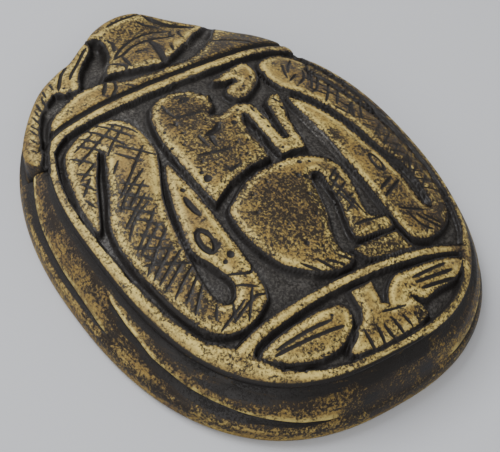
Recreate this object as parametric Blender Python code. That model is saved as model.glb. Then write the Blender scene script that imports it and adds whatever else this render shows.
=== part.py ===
"""Scarab amulet, carved from one piece of steatite and lying on its flat base.

The back is a low dome inside a rim. On it stand two cobras with a squatting figure between them,
above a strip with a lotus and two buds. +X is the beetle's right, +Y points to its head, and the
origin lies on the underside, below the middle of the whole outline.
"""
import math

import bmesh
import bpy
from mathutils import Vector

MM = 0.001

# Driving dimensions of the beetle, in millimetres
BACK_HALF_WIDTH = 34.5
BACK_TO_HEAD = 37.0
BACK_TO_TAIL = 40.0
RIM_HEIGHT = 11.8
DOME_RISE = 6.5
HEAD_REACH = 15.4
HEAD_DROP = 3.9
BASE_FLARE = 4.65
BASE_FRONT_REACH = 11.0
BASE_EDGE_HEIGHT = 2.2
HEAD_UNDERSIDE = 2.8
HEAD_UNDERCUT = 1.2
UNDERSIDE_BEVEL = 0.7
RIM_BEVEL = 0.4

# Depths and widths of the carving, in millimetres
GROUND_DEPTH = 1.35
BAND_DEPTH = 1.1
LOTUS_DEPTH = 1.15
LINE_DEPTH = 0.7
VALLEY_DEPTH = 1.9
POCKET_DEPTH = 2.3
FORELEG_DEPTH = 1.5
RIM_STRIP = 1.15
RIM_STRIP_SWELL = 1.9
BAND_GROOVE = 1.1
LINE_GROOVE = 0.7
VALLEY_WIDTH = 2.1
FORELEG_GROOVE = 1.8
LEG_GROOVE = 1.3

# Roundness of the ovals: 2 is an ellipse, and more is squarer
BACK_ROUNDNESS = 2.6
BASE_FRONT_ROUNDNESS = 2.1
BASE_TAIL_ROUNDNESS = 2.5

# Where the strip inside the rim is widest, in degrees from the beetle's right
SWELL_AT = 215

# How finely the ovals and domes are divided, and in degrees, how far apart points of a leg lie
SIDE_STEPS = 64
GRID_CELL = 6.0
LEG_STEP = 4.5

# The carving is drawn, in millimetres, on a back of this size, and stretched to the real one
DRAWN_HALF_WIDTH = 34.5
DRAWN_TO_HEAD = 37.0
DRAWN_TO_TAIL = 40.0
DRAWN_HEAD_REACH = 15.4

# Where the side goes in and out between the rim (share 0) and the base edge (share 1)
SIDE_PROFILE = (
    (0.05, 0.0),
    (0.12, -0.5),
    (0.19, 0.2),
    (0.32, 0.5),
    (0.55, 0.45),
    (0.76, 0.05),
    (0.86, 0.2),
    (1.0, 0.0),
)
BACK_RINGS = (0.8, 0.6, 0.4, 0.2)


def signed_power(value, power):
    return math.copysign(abs(value) ** power, value)


def oval(angle, half_width, to_head, to_tail, front_roundness, tail_roundness):
    """A point of an oval whose head half and tail half have their own length and roundness."""
    front = math.sin(angle) > 0
    length = to_head if front else to_tail
    power = 2 / (front_roundness if front else tail_roundness)
    return Vector((
        half_width * signed_power(math.cos(angle), power),
        length * signed_power(math.sin(angle), power),
    ))


def rim_oval(angle, inset=0.0):
    return oval(
        angle, BACK_HALF_WIDTH - inset, BACK_TO_HEAD - inset, BACK_TO_TAIL - inset,
        BACK_ROUNDNESS, BACK_ROUNDNESS,
    )


def base_oval(angle, grow=0.0):
    return oval(
        angle, BACK_HALF_WIDTH + BASE_FLARE + grow, BACK_TO_HEAD + BASE_FRONT_REACH + grow,
        BACK_TO_TAIL + BASE_FLARE + grow, BASE_FRONT_ROUNDNESS, BASE_TAIL_ROUNDNESS,
    )


def strip_edge(degrees):
    """The inner edge of the raised strip along the rim, which swells left of the tail."""
    swell = max(0.0, math.cos(math.radians(degrees - SWELL_AT))) ** 4
    return rim_oval(math.radians(degrees), RIM_STRIP + RIM_STRIP_SWELL * swell)


def back_height(x, y):
    """Height of the uncarved back. Past the rim it falls on, down to the level of the head's tip."""
    length = BACK_TO_HEAD if y > 0 else BACK_TO_TAIL
    rise = 1 - (x / BACK_HALF_WIDTH) ** 2 - (y / length) ** 2
    return RIM_HEIGHT + max(DOME_RISE * rise, -HEAD_DROP)


def drawn(x, y):
    """A point of the drawing, stretched to the real back and head."""
    if y < 0:
        real_y = y * BACK_TO_TAIL / DRAWN_TO_TAIL
    elif y < DRAWN_TO_HEAD:
        real_y = y * BACK_TO_HEAD / DRAWN_TO_HEAD
    else:
        real_y = BACK_TO_HEAD + (y - DRAWN_TO_HEAD) * HEAD_REACH / DRAWN_HEAD_REACH
    return Vector((x * BACK_HALF_WIDTH / DRAWN_HALF_WIDTH, real_y))


def rounded(points, closed=True, steps=2):
    """The drawn points joined by a smooth curve through each of them."""
    count = len(points)
    flat = [drawn(x, y) for x, y in points]
    spans = count if closed else count - 1
    curve = []
    for i in range(spans):
        if closed:
            before, start, end, after = (flat[(i + k) % count] for k in (-1, 0, 1, 2))
        else:
            before, start, end, after = (
                flat[min(max(i + k, 0), count - 1)] for k in (-1, 0, 1, 2)
            )
        for step in range(steps):
            t = step / steps
            curve.append(
                start
                + (end - before) * 0.5 * t
                + (before * 2 - start * 5 + end * 4 - after) * 0.5 * t ** 2
                + (start * 3 - before - end * 3 + after) * 0.5 * t ** 3
            )
    if not closed:
        curve.append(flat[-1])
    return curve


def straight(points):
    return [drawn(x, y) for x, y in points]


def ribbon(points, width, steps=2, end_share=0.35):
    """The outline of a cut of one width that runs along the points and narrows at both ends."""
    middle = rounded(points, closed=False, steps=steps)
    last = len(middle) - 1
    left, right = [], []
    for i, point in enumerate(middle):
        along = middle[min(i + 1, last)] - middle[max(i - 1, 0)]
        across = Vector((-along.y, along.x)).normalized()
        half = width / 2 * (end_share if i in (0, last) else 1)
        left.append(point + across * half)
        right.append(point - across * half)
    return left + right[::-1]


def collection(name):
    made = bpy.data.collections.new(name)
    bpy.context.scene.collection.children.link(made)
    return made


def keep_as_cutter(thing, cutters):
    for home in list(thing.users_collection):
        home.objects.unlink(thing)
    cutters.objects.link(thing)
    thing.hide_render = True
    thing.display_type = "WIRE"
    return thing


def boolean(thing, operation, other):
    step = thing.modifiers.new(f"{operation.lower()} {other.name}", "BOOLEAN")
    step.operation = operation
    step.object = other
    step.solver = "EXACT"


def as_mesh(curve_object):
    """The curve as a closed mesh, with its caps welded on."""
    depsgraph = bpy.context.evaluated_depsgraph_get()
    mesh = bpy.data.meshes.new_from_object(curve_object.evaluated_get(depsgraph))
    shape = bmesh.new()
    shape.from_mesh(mesh)
    bmesh.ops.remove_doubles(shape, verts=shape.verts, dist=MM / 1000)
    bmesh.ops.recalc_face_normals(shape, faces=shape.faces)
    shape.to_mesh(mesh)
    shape.free()
    name = curve_object.name
    matrix = curve_object.matrix_world.copy()
    curve_object.name = name + " curve"
    made = bpy.data.objects.new(name, mesh)
    made.matrix_world = matrix
    bpy.context.scene.collection.objects.link(made)
    bpy.data.objects.remove(curve_object)
    return made


def prism(name, loops, low, high):
    """A flat outline with its holes, standing from one height to another."""
    curve = bpy.data.curves.new(name, "CURVE")
    curve.dimensions = "2D"
    curve.fill_mode = "BOTH"
    curve.extrude = (high - low) / 2 * MM
    for loop in loops:
        spline = curve.splines.new("POLY")
        spline.points.add(len(loop) - 1)
        for place, point in zip(spline.points, loop):
            place.co = (point.x * MM, point.y * MM, 0, 1)
        spline.use_cyclic_u = True
    flat = bpy.data.objects.new(name, curve)
    flat.location.z = (high + low) / 2 * MM
    bpy.context.scene.collection.objects.link(flat)
    bpy.context.view_layer.update()
    return as_mesh(flat)


def tube(name, route):
    """A round cutter along the route, whose points each hold a place and a radius."""
    curve = bpy.data.curves.new(name, "CURVE")
    curve.dimensions = "3D"
    curve.bevel_depth = MM
    curve.bevel_resolution = 1
    curve.use_fill_caps = True
    spline = curve.splines.new("POLY")
    spline.points.add(len(route) - 1)
    for place, (point, radius) in zip(spline.points, route):
        place.co = (point * MM).to_4d()
        place.co.w = 1
        place.radius = radius
    wire = bpy.data.objects.new(name, curve)
    bpy.context.scene.collection.objects.link(wire)
    bpy.context.view_layer.update()
    return as_mesh(wire)


def loft(name, rings, top):
    """A closed solid through rings of points, with a flat bottom and a point at the top."""
    mesh = bpy.data.meshes.new(name)
    shape = bmesh.new()
    rows = [[shape.verts.new(point * MM) for point in ring] for ring in rings]
    count = len(rows[0])
    for lower, upper in zip(rows, rows[1:]):
        for i in range(count):
            j = (i + 1) % count
            shape.faces.new((lower[i], lower[j], upper[j], upper[i]))
    peak = shape.verts.new(top * MM)
    for i in range(count):
        shape.faces.new((rows[-1][i], rows[-1][(i + 1) % count], peak))
    shape.faces.new(rows[0][::-1])
    bmesh.ops.triangulate(shape, faces=[face for face in shape.faces if len(face.verts) == 4])
    bmesh.ops.recalc_face_normals(shape, faces=shape.faces)
    shape.to_mesh(mesh)
    shape.free()
    return bpy.data.objects.new(name, mesh)


def crown(name, depth):
    """A closed block under the back, whose top follows the dome at a depth below it."""
    half_x = BACK_HALF_WIDTH + BASE_FLARE + GRID_CELL
    half_y = BACK_TO_TAIL + HEAD_REACH + GRID_CELL
    bpy.ops.mesh.primitive_grid_add(
        x_subdivisions=round(2 * half_x / GRID_CELL),
        y_subdivisions=round(2 * half_y / GRID_CELL),
        size=2,
    )
    block = bpy.context.object
    block.name = name
    shape = bmesh.new()
    shape.from_mesh(block.data)
    bmesh.ops.triangulate(shape, faces=shape.faces)
    for vertex in shape.verts:
        x, y = vertex.co.x * half_x, vertex.co.y * half_y
        vertex.co = Vector((x, y, back_height(x, y) - depth)) * MM
    extruded = bmesh.ops.extrude_face_region(shape, geom=shape.faces[:], use_keep_orig=True)
    for item in extruded["geom"]:
        if isinstance(item, bmesh.types.BMVert):
            item.co.z = -GRID_CELL * MM
    bmesh.ops.recalc_face_normals(shape, faces=shape.faces)
    shape.to_mesh(block.data)
    shape.free()
    return block


def side_point(angle, share, push=0.0):
    """A point of the side: share 0 is the rim and share 1 the base edge; push is outwards."""
    rim = rim_oval(angle)
    base = base_oval(angle)
    place = rim.lerp(base, share)
    step = 0.02
    along = base_oval(angle + step) - base_oval(angle - step)
    outwards = Vector((along.y, -along.x)).normalized()
    place += outwards * push
    rim_z = back_height(rim.x, rim.y) - RIM_BEVEL
    return Vector((place.x, place.y, rim_z + (BASE_EDGE_HEIGHT - rim_z) * share))


def angles():
    return [2 * math.pi * i / SIDE_STEPS for i in range(SIDE_STEPS)]


def blank():
    """The beetle before carving: base edge, side with the groove under its rim, and domed back."""
    under = [
        [base_oval(a, -UNDERSIDE_BEVEL).to_3d() for a in angles()],
        [base_oval(a).to_3d() + Vector((0, 0, UNDERSIDE_BEVEL)) for a in angles()],
    ]
    side = [[side_point(a, share, push) for a in angles()] for share, push in SIDE_PROFILE[::-1]]
    rim = [[side_point(a, 0.0) for a in angles()]]
    back = []
    shares = (1 - RIM_BEVEL / BACK_HALF_WIDTH,) + BACK_RINGS
    for share in shares:
        ring = [rim_oval(a) * share for a in angles()]
        back.append([Vector((p.x, p.y, back_height(p.x, p.y))) for p in ring])
    return loft("scarab", under + side + rim + back, Vector((0, 0, back_height(0, 0))))


def front_outline():
    """Head and both forelegs, from the left rear, round the head's tip, to the right rear."""
    return rounded((
        (-32.2, 26.2), (-30, 30.8), (-25.6, 36.3), (-20.6, 41), (-15.4, 43.8), (-12, 45.2),
        (-7.4, 48.2), (-3.8, 50.4), (0, 51.9), (3.4, 52.4), (6.4, 52.1), (8.4, 51), (12, 47.6),
        (15, 45.1), (18.2, 42.8), (18.6, 40.6), (22, 38), (25.5, 35.4), (28.2, 31.6), (29, 28.6),
        (20, 24), (-20, 24),
    ))


def band_line():
    """The groove across the back that parts the wings from the plate in front of them."""
    return (
        (-36, 24.8), (-31, 27.2), (-27, 28.5), (-22, 29.2), (-14, 29.5), (-5, 29.4), (5, 29.6),
        (13, 30.3), (20, 31), (25, 30.9), (35, 28.8),
    )


def field_outline():
    """The sunk ground of the picture: groove above, rim strip at the sides, strip edge below."""
    top = rounded(
        ((-29.6, 24.6), (-25, 26.6), (-20, 27), (-10, 26.8), (0, 26.8), (10, 27.3), (20, 28.4),
         (26, 28), (29.8, 26)),
        closed=False,
    )
    right = [strip_edge(degrees) for degrees in range(32, -36, -7)]
    bottom = rounded(
        ((26.6, -27.6), (20, -26.4), (10, -25.4), (0, -24.9), (-12, -24.9), (-18, -25.2),
         (-24.4, -26.4)),
        closed=False,
    )
    left = [strip_edge(degrees) for degrees in range(212, 146, -7)]
    return top + right + bottom + left


def left_cobra():
    """Hood, narrow outer limb, and the body that turns at the bottom into the inner limb."""
    return rounded((
        (-27, 22.6), (-23, 24.8), (-19, 25.2), (-16, 24.4), (-14.4, 21.6), (-14, 18), (-14.6, 13.2),
        (-16.6, 9), (-19.3, 4), (-21.2, -2), (-22.4, -9), (-23, -15.5), (-22.4, -18.6), (-20.8, -19.5),
        (-19.2, -18.4), (-18.6, -16), (-19.8, -11.8), (-21.2, -8.4), (-20.3, -3.5), (-18.8, 1.5),
        (-16.8, 6.5), (-14.9, 9.3), (-14.4, 4), (-14.3, -8), (-14.5, -20.2), (-17, -23.2),
        (-20.8, -24.4), (-24.4, -23.6), (-26.9, -21), (-28.4, -17), (-29.6, -11.6), (-30.6, -3),
        (-29.6, 3.8), (-26.6, 9.2), (-24.3, 13.6), (-22, 18), (-22.7, 19), (-24.3, 16.6), (-26.2, 13.8), (-28.8, 9),
        (-31.6, 4.2), (-31.4, 10), (-30.2, 15.6), (-28.8, 19.6),
    ))


def right_cobra():
    """The second cobra, turned the other way and cut a little lower."""
    return rounded((
        (16.2, 21), (17.4, 24.6), (21, 26.2), (25, 25.7), (27.4, 23.2), (29.2, 18.8), (30.5, 14),
        (31.4, 8), (31.5, 5.6), (30, 10.8), (28.6, 15.4), (26.8, 20.2), (25.8, 19.6), (27.4, 14.4),
        (29, 9.4), (30.4, 4.4), (31.4, -1.5), (31.5, -9), (30.8, -15), (29.2, -19.4), (26.6, -22.6),
        (22, -24.3),
        (18, -24.2), (15.9, -21.4), (15.5, -10), (15.4, 2), (15.3, 12.6), (17, 12.4), (19.2, 8.8),
        (21.1, 4.4), (22.2, -1), (23.3, -6), (24.2, -12), (24, -17), (25.2, -18.8), (26.6, -17.4),
        (27.2, -12.6), (26.8, -8), (25.2, -4.4), (24.2, 1), (23, 6), (21, 10.6), (18.6, 14.4),
        (16.4, 17.2),
    ))


def figure_torso():
    """Head, back and raised knee of the squatting figure, and the flail that stands on its foot."""
    return straight((
        (-12.6, -2.4), (-12.9, 4), (-12.8, 9), (-12.6, 14), (-11.8, 17.2), (-10.8, 20.4), (-9.2, 22.8),
        (-6.4, 24.3), (-3.2, 24.3), (-0.8, 23.2), (0.4, 21.9), (1, 20.9), (1.9, 19.9), (1.1, 19.3),
        (1.3, 18.5), (0.9, 17.6), (0.2, 16.8), (-1.2, 16.4), (-1.4, 15.2), (0.4, 14.3), (2.2, 15.2), (4.8, 15.7), (6.6, 15.1), (7.6, 13.6),
        (7.6, 9.5), (7.2, 6.4), (7.2, 4.3), (8.4, 4.2),
        (8.9, 7), (9.6, 10.5), (10.3, 13.6), (12.4, 15.1), (14.3, 14.9), (13.5, 12.6), (12.6, 10.2),
        (11.4, 8.4), (10.9, 5), (9.8, 0.8), (4.4, 1.1), (4.4, 4.6), (4.8, 9.5),
        (5.1, 12.6), (4.3, 13.1), (3.1, 11), (2.1, 8), (2.4, 4.4), (1.8, 1.5), (-2, 1.3), (-5, 0.7),
        (-8, -0.1), (-10.5, -1.3),
    ))


def figure_crook():
    """The hooked piece at the figure's upper right, open to the left."""
    return rounded((
        (5, 23.4), (8.6, 24.7), (12.3, 25.8), (14.6, 26), (15.2, 23.6), (13.9, 20.6), (11.6, 18.6),
        (8.4, 16.8), (6.2, 17.2), (5.4, 19.2), (7, 20.7), (9.5, 21.4), (9.4, 22.5), (7.2, 22.5),
    ))


def figure_leg():
    """Thigh and folded leg: one broad form, with a slanting slit and a foot at its right."""
    return rounded((
        (-11.6, -5.2), (-9.5, -3.6), (-5.4, -1.3), (-1, -0.4), (4, -0.3), (8, -1.1), (11.4, -2.8),
        (12.9, -5.2), (12.9, -8.6), (12, -12), (11.3, -15), (11.6, -16.8), (14.2, -17.6), (14.2, -20.2),
        (10, -20.1), (5.9, -19.6), (6.4, -16), (7.6, -12), (8.1, -8.4), (8.2, -5.4), (6.2, -5.3),
        (5, -9.4), (3.8, -13.4), (2.2, -17), (1.6, -20.2), (3, -22.8), (0, -23.5), (-4, -22.6),
        (-7.4, -20.2), (-9.8, -17.6), (-11.4, -13.4), (-12, -9.4),
    ))


def figure_base():
    return straight(((3.8, -21.4), (14.3, -21.3), (14.5, -24.6), (8, -24.3), (4.6, -23.8)))


def lotus_field():
    """The sunk ground of the lotus strip, between the raised strip above it and the rim."""
    top = rounded(
        ((-22.6, -29), (-20, -27.6), (-10, -26.7), (0, -26.6), (10, -27.1), (20, -28.4), (24.4, -29.6)),
        closed=False,
    )
    return top + [strip_edge(degrees) for degrees in range(306, 236, -7)]


def left_bud():
    return rounded((
        (-21.6, -29.7), (-18, -28.5), (-11, -28.1), (-6.4, -28.4), (-4, -29.6), (-4.4, -32.4),
        (-7.4, -34.6),
        (-11.6, -35.3), (-16, -34.2), (-19.6, -31.9),
    ))


def right_bud():
    return rounded((
        (4.9, -30.4), (7, -28.9), (12, -28.3), (18, -29), (22, -30.3), (19.6, -32.3), (15.6, -33.8),
        (12, -34.3), (9.4, -33.2),
    ))


def lotus():
    """Stem that narrows downwards, and the open fan of petals under it."""
    return straight((
        (-1.6, -27.7), (3, -27.7), (2.5, -31.6), (4, -33), (8.6, -32.9), (10.3, -35.2), (9.8, -36.8),
        (7.4, -37.7), (3, -38.1), (-2, -38.1), (-6.4, -37.6), (-7.9, -36.8), (-5.6, -34.2), (-2.8, -33),
        (-1.7, -31.4),
    ))


def carve(stone, name, ground, depth, cutters, figures=()):
    """Sinks the ground's outline to one depth below the dome, and leaves the figures standing."""
    high = RIM_HEIGHT + 2 * DOME_RISE
    tool = keep_as_cutter(prism(name, [ground], 0, high), cutters)
    if figures:
        raised = prism(name + " figures", figures, -DOME_RISE, high + DOME_RISE)
        boolean(tool, "DIFFERENCE", keep_as_cutter(raised, cutters))
    boolean(tool, "DIFFERENCE", keep_as_cutter(crown(name + " floor", depth), cutters))
    boolean(stone, "DIFFERENCE", tool)


def leg_routes():
    """Grooves of one side between and under the legs: angle, share down the side, radius share."""
    return {
        "leg notch": ((145, 0.16, 0.5), (147, 0.3, 0.8), (149, 0.5, 0.9), (152, 0.68, 1.0)),
        "middle leg groove": (
            (147, 0.66, 0.9), (154, 0.68, 1.0), (162, 0.71, 0.8), (171, 0.73, 0.7), (180, 0.77, 0.5),
            (190, 0.79, 0.2),
        ),
        "hind leg groove": (
            (188, 0.28, 0.2), (196, 0.46, 0.6), (205, 0.58, 0.9), (215, 0.63, 1.0), (227, 0.67, 0.9),
            (240, 0.71, 0.7), (257, 0.76, 0.2),
        ),
        "tail hollow": (
            (200, 0.22, 0.3), (214, 0.26, 0.8), (228, 0.3, 1.0), (244, 0.3, 1.0), (258, 0.29, 0.8),
            (268, 0.26, 0.3),
        ),
    }


def closely(route):
    """The same route with points near enough together to follow the side round its curve."""
    places = []
    for start, end in zip(route, route[1:]):
        steps = max(1, math.ceil(abs(end[0] - start[0]) / LEG_STEP))
        for step in range(steps):
            places.append(tuple(a + (b - a) * step / steps for a, b in zip(start, end)))
    return places + [route[-1]]


def carve_legs(stone, cutters):
    for name, route in leg_routes().items():
        for side, mirrored in (("left", False), ("right", True)):
            places = []
            for degrees, share, size in closely(route):
                angle = math.radians(180 - degrees if mirrored else degrees)
                places.append((side_point(angle, share), size * LEG_GROOVE))
            boolean(stone, "DIFFERENCE", keep_as_cutter(tube(f"{side} {name}", places), cutters))


def carve_back(stone, cutters):
    picture = (
        left_cobra(), right_cobra(), figure_torso(), figure_crook(), figure_leg(), figure_base(),
    )
    plants = (left_bud(), right_bud(), lotus())
    carve(stone, "picture ground", field_outline(), GROUND_DEPTH, cutters, picture)
    carve(stone, "lotus ground", lotus_field(), LOTUS_DEPTH, cutters, plants)
    carve(stone, "front plate groove", ribbon(band_line(), BAND_GROOVE), BAND_DEPTH, cutters)


def carve_head(stone, cutters):
    valley = (
        (-21.4, 34.6), (-17.8, 35.8), (-13, 36), (-8, 34.7), (-4, 33.9), (1, 33.5), (6, 34.4), (11, 36.6), (16, 39.4), (20.5, 41.5),
    )
    foreleg = (
        (-16.2, 41.8), (-18.7, 39.3), (-20.7, 36.6), (-23.3, 34), (-25.9, 31.2), (-28, 28),
        (-29.6, 25.2), (-31.6, 21.4),
    )
    pocket = (
        (-13.4, 37.6), (-11.4, 41.2), (-8.4, 45.4), (-6.2, 48), (-4.4, 47.6), (-4.2, 44.6), (-6, 41),
        (-8.8, 37.6), (-11.4, 35.6),
    )
    carve(stone, "valley behind the head", ribbon(valley, VALLEY_WIDTH), VALLEY_DEPTH, cutters)
    carve(stone, "foreleg groove", ribbon(foreleg, FORELEG_GROOVE), FORELEG_DEPTH, cutters)
    carve(stone, "left cheek", rounded(pocket), POCKET_DEPTH, cutters)
    lines = {
        "upper arc": ((-4.2, 41), (-1, 43.3), (3, 44.9), (7, 44.7), (11, 42.8)),
        "lower arc": ((-5, 40.2), (-1, 41.5), (3.5, 42.4), (9, 41.4)),
        "mouth line": ((-0.8, 50.6), (3, 51.2), (7.4, 51)),
        "right cheek line": ((6, 49.6), (8, 47.2), (12, 44.6), (16.5, 42.6)),
    }
    for name, line in lines.items():
        carve(stone, name, ribbon(line, LINE_GROOVE), LINE_DEPTH, cutters)


def add_front(stone, cutters):
    """Joins the head and forelegs on, undercut to a hollow edge, under the falling back."""
    high = RIM_HEIGHT + 2 * DOME_RISE
    front = keep_as_cutter(
        prism("head and forelegs", [front_outline()], HEAD_UNDERSIDE, high), cutters
    )
    tip_height = RIM_HEIGHT - HEAD_DROP
    lean = HEAD_UNDERCUT / (tip_height - HEAD_UNDERSIDE) / (BACK_TO_HEAD + HEAD_REACH)
    for vertex in front.data.vertices:
        height = front.location.z / MM + vertex.co.z / MM
        vertex.co.x *= 1 + lean * (height - tip_height)
        vertex.co.y *= 1 + lean * (height - tip_height)
    boolean(front, "INTERSECT", keep_as_cutter(crown("front height", 0), cutters))
    boolean(stone, "UNION", front)


def steatite():
    made = bpy.data.materials.new("steatite")
    made.use_nodes = True
    shader = made.node_tree.nodes["Principled BSDF"]
    shader.inputs["Base Color"].default_value = (0.42, 0.30, 0.13, 1)
    shader.inputs["Roughness"].default_value = 0.45
    shader.inputs["Metallic"].default_value = 0
    return made


def main():
    for thing in list(bpy.data.objects):
        bpy.data.objects.remove(thing)
    parts = collection("scarab amulet")
    cutters = collection("cutters")
    stone = blank()
    parts.objects.link(stone)
    stone.data.materials.append(steatite())
    add_front(stone, cutters)
    carve_legs(stone, cutters)
    carve_back(stone, cutters)
    carve_head(stone, cutters)
    placing = bpy.data.objects.new("middle of the outline", None)
    cutters.objects.link(placing)
    middle = (BACK_TO_HEAD + HEAD_REACH - BACK_TO_TAIL - BASE_FLARE) / 2
    for thing in list(parts.objects) + [item for item in cutters.objects if item is not placing]:
        thing.parent = placing
    placing.location.y = -middle * MM


main()
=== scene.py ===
"""A large stone scarab lying on its base, dressed for looking at from every side.

One carved piece: blank, picture on the back, head and forelegs, legs round the side, underside.
Lengths in the sections are millimetres on the beetle, with +Y to its head and +X to its right.
"""
import math

import bpy
import numpy as np
from mathutils import Matrix, Vector


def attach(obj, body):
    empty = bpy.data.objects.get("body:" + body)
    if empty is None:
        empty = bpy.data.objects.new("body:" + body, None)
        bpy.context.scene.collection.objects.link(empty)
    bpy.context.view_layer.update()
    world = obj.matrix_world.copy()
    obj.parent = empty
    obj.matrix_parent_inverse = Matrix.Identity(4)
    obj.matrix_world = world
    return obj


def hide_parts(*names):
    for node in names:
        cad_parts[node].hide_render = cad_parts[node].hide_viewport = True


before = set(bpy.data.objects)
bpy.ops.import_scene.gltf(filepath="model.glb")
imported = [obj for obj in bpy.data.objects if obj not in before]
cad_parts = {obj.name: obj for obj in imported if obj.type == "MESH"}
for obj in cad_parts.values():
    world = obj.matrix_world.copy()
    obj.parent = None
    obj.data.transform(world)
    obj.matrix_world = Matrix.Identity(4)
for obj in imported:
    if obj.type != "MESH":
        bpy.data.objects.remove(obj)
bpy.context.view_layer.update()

# The blank is one lump of steatite, sawn to an oval and rubbed to a low dome. The rim is an oval a
# little squarer than an ellipse; head and forelegs reach out past it, and the base spreads below it.
MM = 0.001
half_width = 34.5
to_head = 37.0
head_reach = 15.4
to_tail = 40.0
rim_roundness = 2.6
rim_height = 11.8
dome_rise = 6.5
head_drop = 3.9
base_flare = 4.65
base_front_reach = 11.0
base_front_roundness = 2.1
base_tail_roundness = 2.5
base_edge_height = 2.2
rim_bevel = 0.4
middle_y = (to_head + head_reach - to_tail - base_flare) / 2


def power_of(value, power):
    return np.sign(value) * np.abs(value) ** power


def oval(angle, width, front, tail, front_roundness, tail_roundness):
    """Points of an oval whose head half and tail half have their own length and roundness."""
    forward = np.sin(angle) > 0
    length = np.where(forward, front, tail)
    power = 2 / np.where(forward, front_roundness, tail_roundness)
    return width * power_of(np.cos(angle), power), length * power_of(np.sin(angle), power)


def rim_oval(angle, inset=0.0):
    return oval(
        angle, half_width - inset, to_head - inset, to_tail - inset, rim_roundness, rim_roundness,
    )


def base_oval(angle, grow=0.0):
    return oval(
        angle, half_width + base_flare + grow, to_head + base_front_reach + grow,
        to_tail + base_flare + grow, base_front_roundness, base_tail_roundness,
    )


def dome(x, y):
    """Height of the rubbed back, which falls on past the rim down to the head's tip."""
    length = np.where(y > 0, to_head, to_tail)
    rise = 1 - (x / half_width) ** 2 - (y / length) ** 2
    return rim_height + np.maximum(dome_rise * rise, -head_drop)


def smooth_line(points, closed=False, steps=6):
    """A smooth curve through given points."""
    p = np.array(points, float)
    count = len(p)
    spans = count if closed else count - 1
    curve = []
    for i in range(spans):
        if closed:
            before, start, end, after = (p[(i + k) % count] for k in (-1, 0, 1, 2))
        else:
            before, start, end, after = (p[min(max(i + k, 0), count - 1)] for k in (-1, 0, 1, 2))
        for t in np.arange(steps) / steps:
            curve.append(
                start + (end - before) * 0.5 * t
                + (before * 2 - start * 5 + end * 4 - after) * 0.5 * t ** 2
                + (start * 3 - before - end * 3 + after) * 0.5 * t ** 3
            )
    if not closed:
        curve.append(p[-1])
    return np.array(curve)


def eased(value):
    value = np.clip(value, 0, 1)
    return value * value * (3 - 2 * value)


front_edge = smooth_line((
    (-30.5, 22.2), (-31.8, 24), (-32.6, 26.6), (-30.8, 30.6), (-25.8, 36.6), (-20.8, 41.1),
    (-15.4, 43.9), (-12, 45.2), (-7.4, 48.2), (-3.8, 50.4), (0, 51.85), (3.4, 52.38), (6.4, 52.05),
    (8.4, 51), (12, 47.6), (15, 45.1), (17.2, 43.4), (18.9, 41.4), (22, 38.2), (25.5, 35.4),
    (28.2, 31.6), (29, 28.6), (28.9, 27.4), (28.3, 26.2),
), steps=8)
front_angles = np.arctan2(front_edge[:, 1], front_edge[:, 0])[::-1]
front_reach = np.hypot(front_edge[:, 0], front_edge[:, 1])[::-1]


def growth_of_edge(angle):
    """How much further out than the rim the head and forelegs reach."""
    x, y = rim_oval(angle)
    further = np.interp(np.arctan2(y, x), front_angles, front_reach, left=0, right=0)
    return np.maximum(1, further / np.hypot(x, y))


def edge_of_back(angle):
    """Edge of the back seen from above: the rim, or the head and forelegs where they reach past it."""
    x, y = rim_oval(angle)
    grow = growth_of_edge(angle)
    return x * grow, y * grow, (grow - 1) * np.hypot(x, y)


soft_turns = np.radians(np.arange(-8, 8.1, 2))


def on_back(angle, share):
    """A place on the back, where only the outermost part follows the edge's own steps."""
    x, y = rim_oval(angle)
    soft = sum(growth_of_edge(angle + turn) for turn in soft_turns) / len(soft_turns)
    grow = soft + (growth_of_edge(angle) - soft) * eased((share - 0.8) / 0.2)
    return x * share * grow, y * share * grow


BLANK_GRID = 144
bpy.ops.object.select_all(action="DESELECT")
bpy.ops.mesh.primitive_grid_add(x_subdivisions=BLANK_GRID, y_subdivisions=BLANK_GRID, size=2)
stone = bpy.context.object
stone.name = "carved_scarab"
stone.data.name = "carved_scarab"


def places(mesh):
    held = np.empty(len(mesh.vertices) * 3)
    mesh.vertices.foreach_get("co", held)
    return held.reshape(-1, 3)


def put_places(mesh, where):
    mesh.vertices.foreach_set("co", where.ravel())
    mesh.update()


def seat_on_disc():
    """Draws the square sheet in to a round one, with its rows even all over."""
    where = places(stone.data)
    u, v = where[:, 0], where[:, 1]
    wide = np.abs(u) >= np.abs(v)
    reach = np.where(wide, u, v)
    other = np.where(wide, v, u)
    turn = math.pi / 4 * other / np.where(np.abs(reach) < 1e-9, 1, reach)
    turn = np.where(wide, turn, math.pi / 2 - turn)
    where[:, 0] = reach * np.cos(turn)
    where[:, 1] = reach * np.sin(turn)
    put_places(stone.data, where)


def over_back(where):
    """Where on the back, in millimetres from above, each point of the round sheet lies."""
    angle = np.arctan2(where[:, 1], where[:, 0])
    return on_back(angle, np.minimum(np.hypot(where[:, 0], where[:, 1]), 1))


seat_on_disc()

# Marking out: every outline and stroke of the carving is drawn first, each with its width and
# depth, the way the carver scratches the design on the blank before sinking the ground.
cuts = []
pits = []


def incise(points, width, depth, soot_and_shade=1.0, smooth=True):
    """A scratched or cut line, to be sunk later."""
    line = smooth_line(points, steps=4) if smooth and len(points) > 2 else np.array(points, float)
    cuts.append((line, width, depth, soot_and_shade))


def incise_all(lines, width, depth, soot_and_shade=1.0):
    for line in lines:
        incise(line, width, depth, soot_and_shade)


def pit(x, y, radius, depth=0.4, tall=1.0):
    pits.append((x, y, radius, depth, tall))


def rim_strip_edge(degrees):
    """Inner edge of the raised strip along the rim, which swells left of the tail."""
    degrees = np.asarray(degrees, float)
    swell = np.maximum(0, np.cos(np.radians(degrees - 215))) ** 4
    x, y = rim_oval(np.radians(degrees), 1.15 + 1.65 * swell)
    return np.stack([x, y], 1)


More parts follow.
